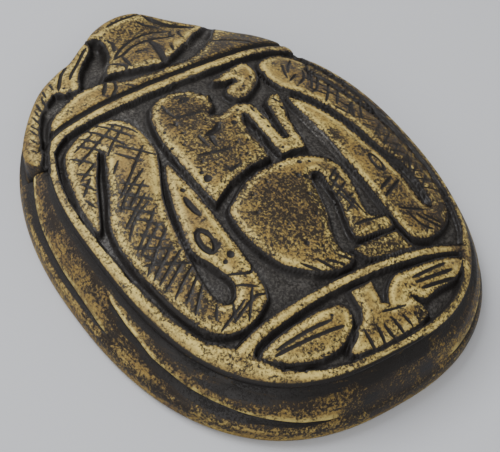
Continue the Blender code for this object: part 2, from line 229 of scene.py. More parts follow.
picture_field = np.concatenate([
    smooth_line(((-28.3, 24.3), (-25, 26.4), (-20, 27), (-10, 26.8), (0, 26.8), (10, 27.3),
                 (20, 28.4), (26, 28), (29.4, 26))),
    rim_strip_edge(np.arange(32, -36, -2)),
    smooth_line(((26.6, -27.6), (20, -26.4), (10, -25.4), (0, -24.9), (-12, -24.9), (-18, -25.2),
                 (-24.4, -26.4))),
    rim_strip_edge(np.arange(212, 146, -2)),
])

# The left cobra stands at the picture's edge: a swollen hood, a narrow outer limb, and a body
# that turns back up at the bottom. It is cut from the same stone and hatched with a fine point.
left_cobra = smooth_line((
    (-27, 22.6), (-23, 24.8), (-19, 25.2), (-16, 24.4), (-14.4, 21.6), (-14, 18), (-14.6, 13.2),
    (-16.6, 9), (-19.3, 4), (-21.2, -2), (-22.4, -9), (-23, -15.5), (-22.4, -18.6), (-20.8, -19.5),
    (-19.2, -18.4), (-18.6, -16), (-19.8, -11.8), (-21.2, -8.4), (-20.3, -3.5), (-18.8, 1.5),
    (-16.8, 6.5), (-14.9, 9.3), (-14.4, 4), (-14.3, -8), (-14.5, -20.2), (-17, -23.2),
    (-20.8, -24.4), (-24.4, -23.6), (-26.9, -21), (-28.4, -17), (-29.6, -11.6), (-30.6, -3),
    (-29.6, 3.8), (-26.6, 9.2), (-24.3, 13.6), (-22, 18), (-22.7, 19), (-24.3, 16.6),
    (-26.2, 13.8), (-28.8, 9), (-31.6, 4.2), (-31.4, 10), (-30.2, 15.6), (-28.8, 19.6),
), closed=True)

falling_hatch = (
    ((-27, 20.8), (-24.6, 17.3)), ((-24.6, 22.7), (-21.7, 18.8)), ((-23.1, 24.2), (-21.2, 20.4)),
    ((-21.2, 25), (-19, 20), (-18.1, 17.3)), ((-19.2, 25), (-17.3, 21.2), (-16.2, 18.8)),
    ((-17.7, 24.2), (-15.4, 20.8), (-14.8, 18.8)), ((-28.1, 17.1), (-26.3, 15.2)),
    ((-28.8, 14.6), (-27.5, 12.1)), ((-30, 11.2), (-29.4, 8.8)),
    ((-19.6, 18.5), (-16.9, 14.6), (-15.2, 12.5)), ((-20.6, 16.7), (-18.1, 12.7)),
    ((-23.5, 10.4), (-20.2, 6.9)), ((-25, 9), (-23.1, 6.5), (-21.2, 4.2)),
    ((-26.5, 6.5), (-23.8, 3.1), (-22.1, 1.3)), ((-27.3, 0.4), (-25, -2.3), (-23.5, -4.2)),
    ((-25.8, 3.1), (-22.5, -1.2)), ((-28.7, -2.3), (-25.4, -4.6), (-23.5, -6.2)),
    ((-28.5, -3.8), (-26, -8)), ((-29.2, -5.8), (-22.3, -10)),
)
rising_hatch = (
    ((-25.8, 21.7), (-20.6, 23.8)), ((-26.9, 18.5), (-22.3, 20.6), (-16.5, 23.1)),
    ((-21.7, 17.3), (-19.6, 19.2), (-15.8, 21.5)), ((-28.5, 15.2), (-24.4, 17.3)),
    ((-29.8, 12.1), (-26.9, 14.8)), ((-23.3, 13.1), (-21.2, 15)),
    ((-25.2, 7.7), (-18.1, 13.5), (-15.8, 15.4)), ((-26.7, 5.4), (-23.5, 8.1), (-18.8, 10.8)),
    ((-25.4, 4.8), (-20.2, 8.5)), ((-27.9, 1.9), (-21.5, 6)),
    ((-28.7, -0.4), (-25.4, 2.7), (-21.9, 4.2)), ((-28.7, -3.1), (-23.8, 0.8), (-21.9, 2.5)),
    ((-28.3, -3.8), (-22.7, -0.4)), ((-29.6, -7.7), (-25.8, -4.6), (-22.3, -1.9)),
    ((-29.2, -9), (-23.5, -5.4)), ((-29, -10.4), (-22.7, -6.9)), ((-28.8, -11.9), (-23.1, -8.8)),
    ((-28.1, -13.8), (-22.7, -10.4)), ((-26.7, -15.4), (-22.9, -12.3)),
    ((-26.9, -18.1), (-23.1, -14.2)),
)
incise_all(falling_hatch + rising_hatch, 0.42, 0.28)
turn_scratches = (
    ((-24.6, -20.8), (-23.1, -18.5)), ((-24.8, -22.7), (-20.6, -21.2), (-18.8, -20.4)),
    ((-22.1, -22.7), (-20.6, -19.8)), ((-20, -23.7), (-16.5, -19.2)),
    ((-22.1, -22.7), (-17.3, -20.8), (-14.8, -21.2)),
    ((-18.5, -15), (-15.4, -16.7), (-14.2, -15.8)), ((-18.5, -17.3), (-15.4, -19.6)),
)
incise_all(turn_scratches, 0.4, 0.25)

ring_turn = np.radians(np.arange(0, 361, 24))
ring = [(-18.3 + 1.1 * math.cos(a), -7.9 + 2.3 * math.sin(a)) for a in ring_turn]
incise(ring, 0.95, 0.55)
incise(((-18, -10.2), (-16.7, -9.6)), 1.0, 0.5)
incise(((-16.6, 1.2), (-16.6, -1), (-16.3, -3)), 1.1, 0.6)
pit(-15.9, 2.9, 0.6)
pit(-16.2, -12.2, 0.85)
pit(-17.7, -12.9, 0.5)

# The right cobra faces the other way. It is left standing in the same ground and hatched with the
# same point, but it is a little flatter and more rubbed, so its strokes are shorter and fainter.
right_cobra = smooth_line((
    (16.2, 21), (17.4, 24.6), (21, 26.2), (25, 25.7), (27.4, 23.2), (29.2, 18.8), (30.5, 14),
    (31.4, 8), (31.5, 5.6), (30, 10.8), (28.6, 15.4), (26.8, 20.2), (25.8, 19.6), (27.4, 14.4),
    (29, 9.4), (30.4, 4.4), (31.4, -1.5), (31.5, -9), (30.8, -15), (29.2, -19.4), (26.6, -22.6),
    (22, -24.3), (18, -24.2), (15.9, -21.4), (15.5, -10), (15.4, 2), (15.3, 12.6), (17, 12.4),
    (19.2, 8.8), (21.1, 4.4), (22.2, -1), (23.3, -6), (24.2, -12), (24, -17), (25.2, -18.8),
    (26.6, -17.4), (27.2, -12.6), (26.8, -8), (25.2, -4.4), (24.2, 1), (23, 6), (21, 10.6),
    (18.6, 14.4), (16.4, 17.2),
), closed=True)

right_hatch = (
    ((21.7, 22.7), (20.3, 20), (19.7, 18.5)), ((24.9, 23.7), (22.4, 21.5), (21.1, 20)),
    ((28, 23.5), (27.2, 21.2), (25.3, 18.5), (23.4, 16.5)), ((20.7, 16), (23.4, 17.7), (24.9, 20)),
    ((21.5, 13.1), (23.4, 13.8), (26.8, 17.3)), ((22.6, 10), (24.9, 12.1), (27.2, 14.6)),
    ((21.8, 14.6), (24.2, 11.5)), ((19.5, 17.5), (22.3, 19)),
    ((25.6, 13.9), (24.2, 16.3), (23.1, 18)), ((22.2, 14), (24.2, 16.3), (26.2, 18.8)),
    ((24.2, 8.6), (27.7, 12.2)), ((24.4, 13.5), (26.5, 10)), ((24.6, 5.7), (23.3, 8.5)),
    ((25.1, 4.4), (27.9, 8.5)), ((25.2, 9.5), (27, 5.6)), ((26.5, 3.5), (28.9, 6.8)),
    ((24.9, 5.4), (26.5, 7.3), (28.4, 8.5)), ((29.5, -7.3), (27.2, -10.8)),
    ((18.2, -17.5), (23, -19.2)), ((19.2, -18.8), (20.3, -21.9), (22.2, -23.3)),
    ((20.7, -19.6), (22.4, -21.7), (24.5, -23.5)), ((22.2, -20), (24.9, -22.7)),
)
incise_all(right_hatch, 0.45, 0.3)
for step in range(9):
    y = 4.5 - 2.3 * step
    incise(((25.3 + 0.12 * step, y), (29.6 + 0.05 * step, y - 2.4)), 0.4, 0.18, 0.75)
for step in range(6):
    y = 1.0 - 2.8 * step
    incise(((25.6 + 0.1 * step, y - 2.2), (29.8, y + 0.6)), 0.4, 0.18, 0.75)
incise(((17.4, -12.7), (21.5, -11)), 0.6, 0.4)
incise(((17.2, -14.4), (22.6, -12.1)), 0.6, 0.4)
ring = [(21.1 + 0.9 * math.cos(a), -7.1 + 2.0 * math.sin(a)) for a in ring_turn]
incise(ring, 0.6, 0.4)

# The squatting figure fills the middle: a head with a plain profile, back and raised knee, a
# hooked piece at its upper right, a flail on its foot, and one broad form for thigh and leg.
torso = np.array((
    (-12.6, -2.4), (-12.9, 4), (-12.8, 9), (-12.6, 14), (-11.8, 17.2), (-10.8, 20.4), (-9.2, 22.8),
    (-6.4, 24.3), (-3.2, 24.3), (-0.8, 23.2), (0.4, 21.9), (1, 20.9), (1.9, 19.9), (1.1, 19.3),
    (1.3, 18.5), (0.9, 17.6), (0.2, 16.8), (-1.2, 16.4), (-1.4, 15.2), (0.4, 14.3), (2.2, 15.2),
    (4.8, 15.7), (6.6, 15.1), (7.6, 13.6), (7.6, 9.5), (7.2, 6.4), (7.2, 4.3), (8.4, 4.2),
    (8.9, 7), (9.6, 10.5), (10.3, 13.6), (12.4, 15.1), (14.3, 14.9), (13.5, 12.6), (12.6, 10.2),
    (11.4, 8.4), (10.9, 5), (9.8, 0.8), (4.4, 1.1), (4.4, 4.6), (4.8, 9.5), (5.1, 12.6),
    (4.3, 13.1), (3.1, 11), (2.1, 8), (2.4, 4.4), (1.8, 1.5), (-2, 1.3), (-5, 0.7), (-8, -0.1),
    (-10.5, -1.3),
), float)
crook = smooth_line((
    (5, 23.4), (8.6, 24.7), (12.3, 25.8), (14.6, 26), (15.2, 23.6), (13.9, 20.6), (11.6, 18.6),
    (8.4, 16.8), (6.2, 17.2), (5.4, 19.2), (7, 20.7), (9.5, 21.4), (9.4, 22.5), (7.2, 22.5),
), closed=True)
leg = smooth_line((
    (-11.6, -5.2), (-9.5, -3.6), (-5.4, -1.3), (-1, -0.4), (4, -0.3), (8, -1.1), (11.4, -2.8),
    (12.9, -5.2), (12.9, -8.6), (12, -12), (11.3, -15), (11.6, -16.8), (14.2, -17.6), (14.2, -20.2),
    (10, -20.1), (5.9, -19.6), (6.4, -16), (7.6, -12), (8.1, -8.4), (8.2, -5.4), (6.2, -5.3),
    (5, -9.4), (3.8, -13.4), (2.2, -17), (1.6, -20.2), (3, -22.8), (0, -23.5), (-4, -22.6),
    (-7.4, -20.2), (-9.8, -17.6), (-11.4, -13.4), (-12, -9.4),
), closed=True)
footing = np.array(((3.8, -21.3), (14.3, -21.2), (15.4, -25.2), (10, -24.9), (5.4, -23.9)), float)

incise(((-4.4, 21.2), (-3.2, 21.6), (-2, 21.2), (-3.2, 20.8), (-4.4, 21.2)), 0.45, 0.3)
incise(((-4.9, 22.5), (-3.2, 22.8), (-1.7, 22.2)), 0.4, 0.22)
incise(((1.2, 18.5), (0.2, 18.6)), 0.35, 0.2)
incise(((-7.4, 22.3), (-7.6, 19.4), (-6.8, 17.2)), 0.4, 0.22)
incise(((-7.5, 18.2), (-4.4, 17.2), (-1.6, 17)), 0.5, 0.3)
incise(((-8.9, 7.8), (-3.2, 6.1)), 0.45, 0.3)
incise(((-6.5, 11.8), (-6.5, 8.9)), 0.5, 0.3)
incise(((-6.4, 3.2), (-6.4, 2), (-4.1, 2.5)), 0.5, 0.3, smooth=False)
incise(((-5, 11.2), (-2.6, 11.6), (-1.5, 12.5)), 1.2, 0.7)
incise(((-4.6, 11), (-5.2, 8.2)), 0.9, 0.5)
torso_pits = (
    (-8.2, 16.4, 0.6), (-10.9, 15.9, 0.45), (-8.4, 13.9, 0.45), (-12, 11.9, 0.4),
    (-9.9, 11.4, 0.45), (-2.5, 15.9, 0.4), (-3, 14.5, 0.4), (-11, 4.3, 0.5),
    (-10.8, 2.7, 0.9), (-1.4, 7, 0.45), (0.7, 6.6, 0.45), (-2.7, 4.1, 0.4),
    (-1.4, 3.9, 0.4), (0.3, 3.9, 0.4), (1.2, 11.5, 0.7), (2.3, 12.7, 0.45),
    (3.9, 14.1, 0.4), (5.2, 14.8, 0.4), (6.7, 13, 0.4, 2.2), (7, 10.5, 0.4, 2.2),
    (6.5, 8, 0.4), (5.5, 2.3, 0.4), (12.8, 21.5, 0.5), (9.6, 19.6, 0.4),
    (11.2, 24, 0.35), (-9.6, 6.2, 0.35), (-7.6, 4.6, 0.3), (-3.6, 9.2, 0.35),
)
for x, y, radius, *tall in torso_pits:
    pit(x, y, radius, 0.4, *tall)
pit(12.4, 11.2, 0.6, 0.3)
incise(((12.2, 14.3), (12.9, 12.6)), 0.6, 0.4)
flail_scratches = (
    ((11.7, 9.2), (12.2, 6.2), (10.3, 1.5)), ((12.6, 1.5), (12.4, -1.9), (13.8, -4.6)),
    ((13.8, -5.4), (13.8, -10), (13, -11.5)),
)
incise_all(flail_scratches, 0.3, 0.12, 0.2)

leg_hatch = (
    ((9, -7.4), (11.8, -5.8)), ((8, -9.3), (11.4, -7.1)), ((7.3, -11.2), (11.4, -9.1)),
    ((8.9, -12.4), (11.3, -11.7)), ((9.1, -13.7), (10.9, -12.8)), ((7.5, -14.5), (9.5, -13.7)),
    ((9.1, -6.9), (9.5, -9.6), (9.9, -12.6), (10.7, -16)), ((10.7, -6), (11.4, -9)),
    ((8.6, -10.1), (9.1, -12.8), (9.5, -15.1)), ((-6.6, -19.6), (-3.6, -22.8)),
    ((-3.8, -20.1), (-1.4, -23.3)), ((-2.3, -21), (0.9, -23.3)), ((-0.2, -20.5), (2.7, -23.3)),
)
incise_all(leg_hatch, 0.42, 0.28)
incise(((-10.9, -19.9), (-7, -23.3), (-4.1, -24)), 0.7, 0.4)
incise(((7, -17.4), (14.3, -17.8)), 0.45, 0.3)
leg_pits = (
    (6.1, -1.9, 0.6), (8, -2.5, 0.45), (2.3, -1.2, 0.4), (3.8, -4.4, 0.6),
    (5.2, -5.2, 0.7), (-3.4, -16.9, 0.6), (1.8, -12.6, 0.45), (3.2, -8.5, 0.45),
    (-6.2, -4.4, 0.35), (-2.2, -3.2, 0.35), (-7.6, -7.8, 0.35), (-4.2, -12.2, 0.3),
    (-1, -18.6, 0.35),
)
for x, y, radius, *tall in leg_pits:
    pit(x, y, radius, 0.4, *tall)

# Below the picture a raised strip crosses the back, and under it a lotus flower hangs head down
# between two buds. The petals are cut with short strokes of the same point.
lotus_ground = np.concatenate([
    smooth_line(((-22.6, -29), (-20, -27.5), (-10, -26.5), (0, -26.4), (10, -26.8), (20, -27.9),
                 (25, -28.9))),
    rim_strip_edge(np.arange(306, 236, -2)),
])
left_bud = smooth_line((
    (-21.6, -29.7), (-18, -28.5), (-11, -28.1), (-6.4, -28.4), (-4, -29.6), (-4.4, -32.4),
    (-7.4, -34.6), (-11.6, -35.3), (-16, -34.2), (-19.6, -31.9),
), closed=True)
right_bud = smooth_line((
    (3.6, -32.8), (4.3, -31.3), (5.6, -29.8), (8.2, -28.5), (12, -28.5), (15.6, -28.6),
    (19.7, -28.9), (22.1, -29.3), (24.2, -29.9), (23.4, -30.9), (22.1, -31.9), (20.1, -32.9),
    (17.6, -33.4), (14.7, -33.7), (12.4, -34.1), (11, -34.4), (10, -33.6), (8.8, -32.9),
    (6.7, -33.8), (4.7, -33.8),
), closed=True)
lotus = np.array((
    (-1.6, -27.7), (3, -27.7), (2.5, -31.6), (4, -33), (8.6, -32.9), (10.3, -35.2), (9.8, -36.8),
    (7.4, -37.7), (3, -38.1), (-2, -38.1), (-6.4, -37.6), (-7.9, -36.8), (-5.6, -34.2), (-2.8, -33),
    (-1.7, -31.4),
), float)
bud_strokes = (
    ((-18.7, -30.2), (-13, -30.1), (-7.9, -30.5)), ((-19.4, -30.9), (-13, -31.4), (-6.3, -32.3)),
    ((11, -30.2), (15.7, -30), (19.7, -29.9)), ((11, -31.2), (20, -31.4)),
    ((11.5, -32.5), (19.6, -32.8)),
)
incise_all(bud_strokes, 0.55, 0.35)
petal_strokes = (
    ((-3.4, -34.5), (-3.5, -38.1)), ((-0.9, -34.7), (-1.2, -38.5)), ((0.2, -34.5), (1.1, -38.3)),
    ((2.5, -34.7), (3.4, -38.3)), ((4.8, -35.1), (5.5, -37.4)),
)
incise_all(petal_strokes, 0.55, 0.45)
incise(((1.3, -33.2), (6.5, -33.9)), 0.4, 0.3)
incise(((-4.4, -33.2), (-5.4, -34.7), (-8.5, -36.2)), 0.9, 0.5)
incise(((8.8, -32.8), (10, -34.7), (10.6, -37)), 0.8, 0.5)
pit(-7.1, -29.8, 0.4)
for x, y in ((7.2, -35.8), (8.1, -36.4), (7.4, -36.9), (8.7, -35.9)):
    pit(x, y, 0.4, 0.3)

# Head and front plate: a deep groove crosses the back, a valley parts the head from the plate,
# a hollow is sunk beside the left cheek, and single cut lines give the head's shield.
incise(((-29.4, 26.9), (-27, 28.2), (-22, 29.2), (-14, 29.5), (-5, 29.4), (5, 29.6),
        (13, 30.3), (20, 31), (25, 30.9), (30, 29.8)), 1.3, 1.1)
valley = np.concatenate([
    smooth_line(((-11.6, 35.8), (-9, 36.6), (-6.9, 36.1), (-5.1, 35.4), (-3.3, 34.8), (-1.4, 34.3),
                 (0.6, 33.8), (1.9, 33.8), (3.7, 34.9), (5.9, 35.9), (8.7, 37.7), (10.3, 38.3),
                 (13.5, 40.4), (15.4, 41.2), (17.4, 42.2), (19.5, 43.4))),
    smooth_line(((21.2, 41.6), (18, 39.4), (15.2, 36.9), (12.8, 35.4), (9.9, 33.6), (8, 32.7),
                 (5.9, 32.1), (3.7, 31.8), (1.2, 31.7), (-0.9, 31.8), (-3.1, 31.9), (-5.7, 32.3),
                 (-7.1, 32.4), (-8.5, 33), (-9.7, 33.8), (-10.6, 34.4), (-12, 34.9))),
])
cheek = smooth_line((
    (-6.1, 49.1), (-5.1, 48.9), (-3.9, 48.6), (-3.3, 47.8), (-3.2, 46.8), (-3.9, 44.7),
    (-4.8, 42.7), (-5.9, 41), (-7.3, 39.4), (-8.7, 37.7), (-10.1, 36.2), (-11, 35.2), (-12, 34.9),
    (-14.1, 35.1), (-16, 35.3), (-15.9, 36), (-14.6, 37.9), (-14, 39.2), (-13, 40.5),
    (-11.3, 42.4), (-9.7, 43.9), (-8, 45.4), (-6.6, 46.8), (-6.3, 47.9),
), closed=True)
foreleg_groove = np.concatenate([
    smooth_line(((-14.5, 36.6), (-16.3, 36.5), (-17.3, 36.9), (-18.6, 36.9), (-18.7, 38.1),
                 (-19.8, 38.5), (-21, 37.6), (-22.7, 36.3), (-24.4, 34.9), (-25.7, 33.4),
                 (-26.9, 31.7), (-27.9, 30), (-28.7, 28), (-29.5, 26.4), (-30.3, 25), (-31, 24.1),
                 (-32.2, 22.8))),
    smooth_line(((-31, 20.9), (-30.4, 22.1), (-29.8, 23.2), (-28.7, 25.2), (-27.3, 27.1), (-26.8, 28.1),
                 (-25.8, 29.6), (-24.9, 31), (-23.8, 32.1), (-22.4, 33), (-20.9, 33.7),
                 (-19.4, 34.2), (-17.7, 34.8), (-15.6, 35.2), (-13.6, 35.1))),
])
head_lines = (
    (((-0.5, 50.5), (2.6, 51.1), (8, 51.2)), 0.5, 0.4),
    (((6.1, 49.8), (6.8, 48.2), (9.2, 46.1)), 0.5, 0.4),
    (((8.4, 50.3), (9.9, 47.5), (12.2, 45.2), (15.7, 43)), 1.0, 0.7),
    (((-2.4, 47.7), (-1.8, 46.3), (-2.6, 44.4), (-3.5, 42.8)), 0.6, 0.4),
    (((-4.9, 40.7), (-2.8, 42.3), (0.3, 44), (2.6, 44.8), (4.9, 45.1), (7.6, 44.8), (9.9, 43.6)),
     0.6, 0.5),
    (((-5.5, 40.3), (-2.8, 40.7), (-0.1, 42.1), (2.6, 42.5), (4.9, 42.5), (8.4, 41.5), (9.9, 41.7)),
     0.6, 0.45),
    (((8.8, 40.9), (9.3, 42.5), (10.3, 43.4)), 0.5, 0.35),
    (((10.7, 40.2), (10.9, 41.7), (11.8, 42.8)), 0.5, 0.35),
    (((4.1, 41.8), (4.1, 40.2), (3.4, 38), (2.6, 35.6), (1.7, 33.6)), 1.4, 0.7),
    (((-6.6, 39.4), (-5.1, 37.1), (-5.5, 35.9)), 0.7, 0.45),
    (((-3.7, 39.8), (-4.3, 36.3)), 0.7, 0.45),
    (((6.5, 38.2), (5.9, 36.7)), 0.7, 0.4),
    (((-0.8, 39.8), (0.4, 39.9), (1.5, 39.2)), 0.5, 0.3),
    (((-6.9, 47.4), (-8.2, 46.5), (-9.9, 45), (-12, 43.1), (-13.9, 41.5), (-15.3, 40)), 0.5, 0.35),
    (((-18.4, 38.9), (-16.7, 41.2), (-15.6, 42.5), (-14.5, 43.5), (-13.2, 44.4)), 0.6, 0.55),
    (((-11, 34.6), (-13.7, 31.3)), 0.7, 0.5),
    (((-9.7, 33.8), (-10.7, 31.7), (-13, 29.8)), 0.5, 0.35),
    (((-8.9, 32.5), (-7.8, 30.2)), 0.35, 0.25),
    (((14.6, 36.3), (16.7, 35.3), (18.7, 34.5), (20.6, 33.6), (22.2, 32.4), (23.8, 31)), 0.4, 0.25),
)
for line, width, depth in head_lines:
    incise(line, width, depth)
for x in (1.3, 2.4, 4.1, 5.1):
    incise(((x, 52.2), (x, 51.4)), 0.4, 0.25)
pit(-17.4, 38.6, 0.4)
foreleg_ticks = (
    ((-18.8, 41.6), (-19.2, 39.6)), ((-20.8, 40.7), (-21.4, 38.4)), ((-22.1, 38.9), (-22.7, 36.3)),
    ((-23.7, 38), (-24.1, 35.4)), ((-24.9, 36.4), (-25.1, 34.8)), ((-26.1, 35.2), (-26.1, 33.1)),
    ((-27.6, 33.3), (-27.1, 31.8)), ((-28.3, 32.4), (-28, 30.5)), ((-29.5, 30.4), (-29.1, 28.4)),
    ((-30.9, 27.8), (-30.2, 26.6)),
)
incise_all(foreleg_ticks, 0.4, 0.25)

# Roughing out: the sheet is divided again wherever an outline, stroke or pit will be cut, so the
# carving comes out crisp while plain stone stays coarse.
def distance_to(x, y, line, closed=False):
    """Distance from each point to a line, in millimetres."""
    nearest = np.full(x.shape, 1e6)
    ends = np.roll(line, -1, axis=0) if closed else line[1:]
    for (ax, ay), (bx, by) in zip(line, ends):
        along_x, along_y = bx - ax, by - ay
        length = along_x ** 2 + along_y ** 2
        if length < 1e-12:
            continue
        t = np.clip(((x - ax) * along_x + (y - ay) * along_y) / length, 0, 1)
        nearest = np.minimum(nearest, (x - ax - t * along_x) ** 2 + (y - ay - t * along_y) ** 2)
    return np.sqrt(nearest)


def inwards(x, y, outline):
    """Distance inside a closed outline, and less than nothing outside it."""
    within = np.zeros(x.shape, bool)
    for (ax, ay), (bx, by) in zip(outline, np.roll(outline, -1, axis=0)):
        if ay == by:
            continue
        crosses = (ay > y) != (by > y)
        within ^= crosses & (x < (bx - ax) * (y - ay) / (by - ay) + ax)
    away = distance_to(x, y, outline, closed=True)
    return np.where(within, away, -away)


def near(x, y, line, reach):
    """Which points lie in the box round a line, so far ones needn't be measured."""
    low, high = line.min(0) - reach, line.max(0) + reach
    return (x > low[0]) & (x < high[0]) & (y > low[1]) & (y < high[1])


picture_figures = (left_cobra, right_cobra, torso, crook, leg, footing)
plant_figures = (left_bud, right_bud, lotus)
grounds = (picture_field, lotus_ground, valley, cheek, foreleg_groove)
fine_strip = 0.7


def to_be_divided(x, y):
    """Which points lie by an outline, stroke or pit, so that the faces round them are divided."""
    wanted = np.zeros(x.shape, bool)
    for outline in picture_figures + plant_figures + grounds:
        some = near(x, y, outline, 1.5)
        wanted[some] |= distance_to(x[some], y[some], outline, closed=True) < fine_strip
    for line, width, _, _ in cuts:
        some = near(x, y, line, 1.5)
        wanted[some] |= distance_to(x[some], y[some], line) < width / 2 + 0.1
    for px, py, radius, _, tall in pits:
        wanted |= np.hypot(x - px, (y - py) / tall) < radius + 0.15
    return wanted


wanted = to_be_divided(*over_back(places(stone.data)))
bpy.ops.object.mode_set(mode="EDIT")
bpy.ops.mesh.select_mode(type="FACE")
bpy.ops.mesh.select_all(action="DESELECT")
bpy.ops.object.mode_set(mode="OBJECT")
corners = np.empty(len(stone.data.loops), np.int32)
stone.data.loops.foreach_get("vertex_index", corners)
picked = wanted[corners.reshape(-1, 4)].any(1)
stone.data.polygons.foreach_set("select", picked)
bpy.ops.object.mode_set(mode="EDIT")
bpy.ops.mesh.subdivide(number_cuts=1, ngon=False)
bpy.ops.mesh.select_all(action="DESELECT")
bpy.ops.object.mode_set(mode="OBJECT")

# The side is drawn down from the edge of the back row by row, then in under the base, and the
# underside is closed flat. Nobody sees it in use: it is plain, with one cut line along its edge.
bpy.ops.object.mode_set(mode="EDIT")
bpy.ops.mesh.select_mode(type="EDGE")
bpy.ops.mesh.select_non_manifold(extend=False)
SIDE_ROWS = 28
cut_line_inset = -3.0
under_rows = (
    (1.1, 0.0), (0.45, -0.12), (0.12, -0.4), (0.0, -0.8),
    (0.0, -2.6), (0.3, cut_line_inset), (0.0, -3.4),
)
for row in range(SIDE_ROWS + len(under_rows)):
    bpy.ops.mesh.extrude_edges_move(TRANSFORM_OT_translate={"value": (0, 0, -1)})
bpy.ops.mesh.edge_face_add()
bpy.ops.mesh.select_all(action="DESELECT")
bpy.ops.object.mode_set(mode="OBJECT")

# The legs lie along the side as ridges that overlap like shingles, each with a sharp lower edge and
# a hollow below it. The hollow is painted dark as shade, and the edge gets a thin painted highlight.
# They are roughly cut with a gouge, and both sides are taken as alike. Each edge goes by degrees
# round the side, the share of the way down it, and the hollow's width there.
middle_leg_edge = (
    (143, 0.3, 0.44), (147, 0.4, 0.4), (156, 0.51, 0.3), (164, 0.6, 0.24), (170.5, 0.64, 0.2),
    (175.6, 0.67, 0.18), (179.4, 0.68, 0.16), (183, 0.71, 0.13), (187, 0.75, 0.07), (191, 0.79, 0),
)
hind_leg_edge = (
    (184, 0.24, 0), (186, 0.28, 0.1), (190, 0.31, 0.18), (196, 0.36, 0.2), (200.5, 0.43, 0.22),
    (206, 0.45, 0.25), (211.5, 0.49, 0.25), (217, 0.51, 0.31), (224, 0.54, 0.29),
    (231.4, 0.59, 0.22), (238.5, 0.64, 0.18), (245, 0.7, 0.13), (250, 0.72, 0.1), (257, 0.78, 0),
)
side_hollows = (
    (((200, 0.12), (225, 0.11), (245, 0.11), (262, 0.1), (272, 0.12), (266, 0.26), (255, 0.36),
      (240, 0.38), (226, 0.33), (212, 0.26)), 0.95),
    (((141, 0.05), (144, 0.05), (147, 0.3), (152, 0.6), (150, 0.7), (145, 0.6), (141, 0.3)), 0.9),
)
side_height = rim_height - rim_bevel - base_edge_height
turn_steps = np.radians(np.arange(0, 360.5, 0.5))
side_growth = 1.06
round_x, round_y = (side_growth * line for line in rim_oval(turn_steps))
round_length = np.concatenate([[0], np.cumsum(np.hypot(np.diff(round_x), np.diff(round_y)))])


def along_side(angle):
    """Millimetres round the side from the beetle's right."""
    return np.interp(np.mod(angle, 2 * math.pi), turn_steps, round_length)


def side_hollow_depth(angle, share):
    """How deep the gouged hollows on the side are, in millimetres."""
    depth = np.zeros(angle.shape)
    for mirrored in (False, True):
        turned = np.mod(math.pi - angle if mirrored else angle, 2 * math.pi)
        u = along_side(turned)
        v = share * side_height
        for outline, deepest in side_hollows:
            shape = np.array(outline, float)
            unrolled = np.stack([along_side(np.radians(shape[:, 0])), shape[:, 1] * side_height], 1)
            edge = smooth_line(unrolled, closed=True, steps=4)
            some = near(u, v, edge, 1.0)
            inside = inwards(u[some], v[some], edge)
            depth[some] = np.maximum(depth[some], deepest * eased((inside + 0.15) / 0.9))
    return depth


def turned_left(angle):
    """The same place on the beetle's left side, in degrees."""
    degrees = np.degrees(np.mod(angle, 2 * math.pi))
    return np.where((degrees < 90) | (degrees > 270), np.mod(180 - degrees, 360), degrees)


def leg_edge(angle, route):
    """How far down the side a leg's lower edge lies, and how wide the hollow below it is."""
    route = np.array(route, float)
    degrees = turned_left(angle)
    edge = np.interp(degrees, route[:, 0], route[:, 1])
    width = np.interp(degrees, route[:, 0], route[:, 2], left=0, right=0)
    return edge, width


def side_share(row, angle):
    """How far down the side each row lies, with rows kept right along the legs' sharp edges."""
    hind, _ = leg_edge(angle, hind_leg_edge)
    middle, _ = leg_edge(angle, middle_leg_edge)
    middle = np.clip(middle, hind + 0.03, 0.86)
    known_rows = (0, 1, 2, 3, 4, 5, 6, 11, 12, 18, 19, SIDE_ROWS)
    step = 0.016
    known = [0 * hind + level for level in (0, 0.04, 0.07, 0.1, 0.13, 0.16, 0.2)]
    known = np.stack(known + [hind, hind + step, middle, middle + step, 0 * hind + 1])
    lower = np.clip(np.searchsorted(known_rows, row, side="right") - 1, 0, len(known_rows) - 2)
    columns = np.arange(len(row))
    low, high = known[lower, columns], known[lower + 1, columns]
    low_row, high_row = np.array(known_rows)[lower], np.array(known_rows)[lower + 1]
    return low + (high - low) * (row - low_row) / (high_row - low_row)


def leg_relief(angle, share):
    """Out at a leg's lower edge, and in below it, in millimetres, and how much painted shade lies in
    the hollow below.
    """
    total = np.zeros(angle.shape)
    shade_below_edge = np.zeros(angle.shape)
    for route, deepest in ((middle_leg_edge, 0.85), (hind_leg_edge, 1.0)):
        edge, width = leg_edge(angle, route)
        strength = eased(width / 0.08)
        below = (share - edge - 0.008) / np.maximum(width, 0.02)
        hollow = (below > 0) * np.clip(1 - below, 0, 1) ** 0.8 * strength
        ridge = (below <= 0) * np.exp(-np.clip(edge - share, 0, 1) / 0.09) * strength
        total += 0.25 * ridge - deepest * hollow
        # painted shade: the hollow below each leg edge is darkened, most just under the edge
        shade_below_edge = np.maximum(shade_below_edge, (below > 0) * eased((1.12 - below) / 0.3) * strength)
    return total, shade_below_edge


profile_shares = (0, 0.03, 0.06, 0.09, 0.12, 0.16, 0.21, 0.32, 0.55, 0.76, 0.82, 0.88, 0.95, 1.0)
profile_pushes = (0, 0, -0.25, -0.5, -0.65, -0.6, -0.35, 0.2, 0.3, 0.05, 0.1, 0.25, 0.15, 0)
wall_shares = (0, 0.04, 0.1, 0.2, 0.35, 0.5, 0.64, 0.74, 0.82, 0.9, 0.96, 1.0)
wall_falls = (0, 0.08, 0.2, 0.4, 0.62, 0.8, 0.93, 1.0, 1.03, 1.06, 1.08, 1.1)
wall_ins = (0, 0, 0, 0, 0, 0, 0.02, 0.15, 0.4, 0.7, 0.9, 1.0)
wall_foot = 2.9
head_top = 7.9
head_wall_lean = 1.2 / 5.1 / 52.4


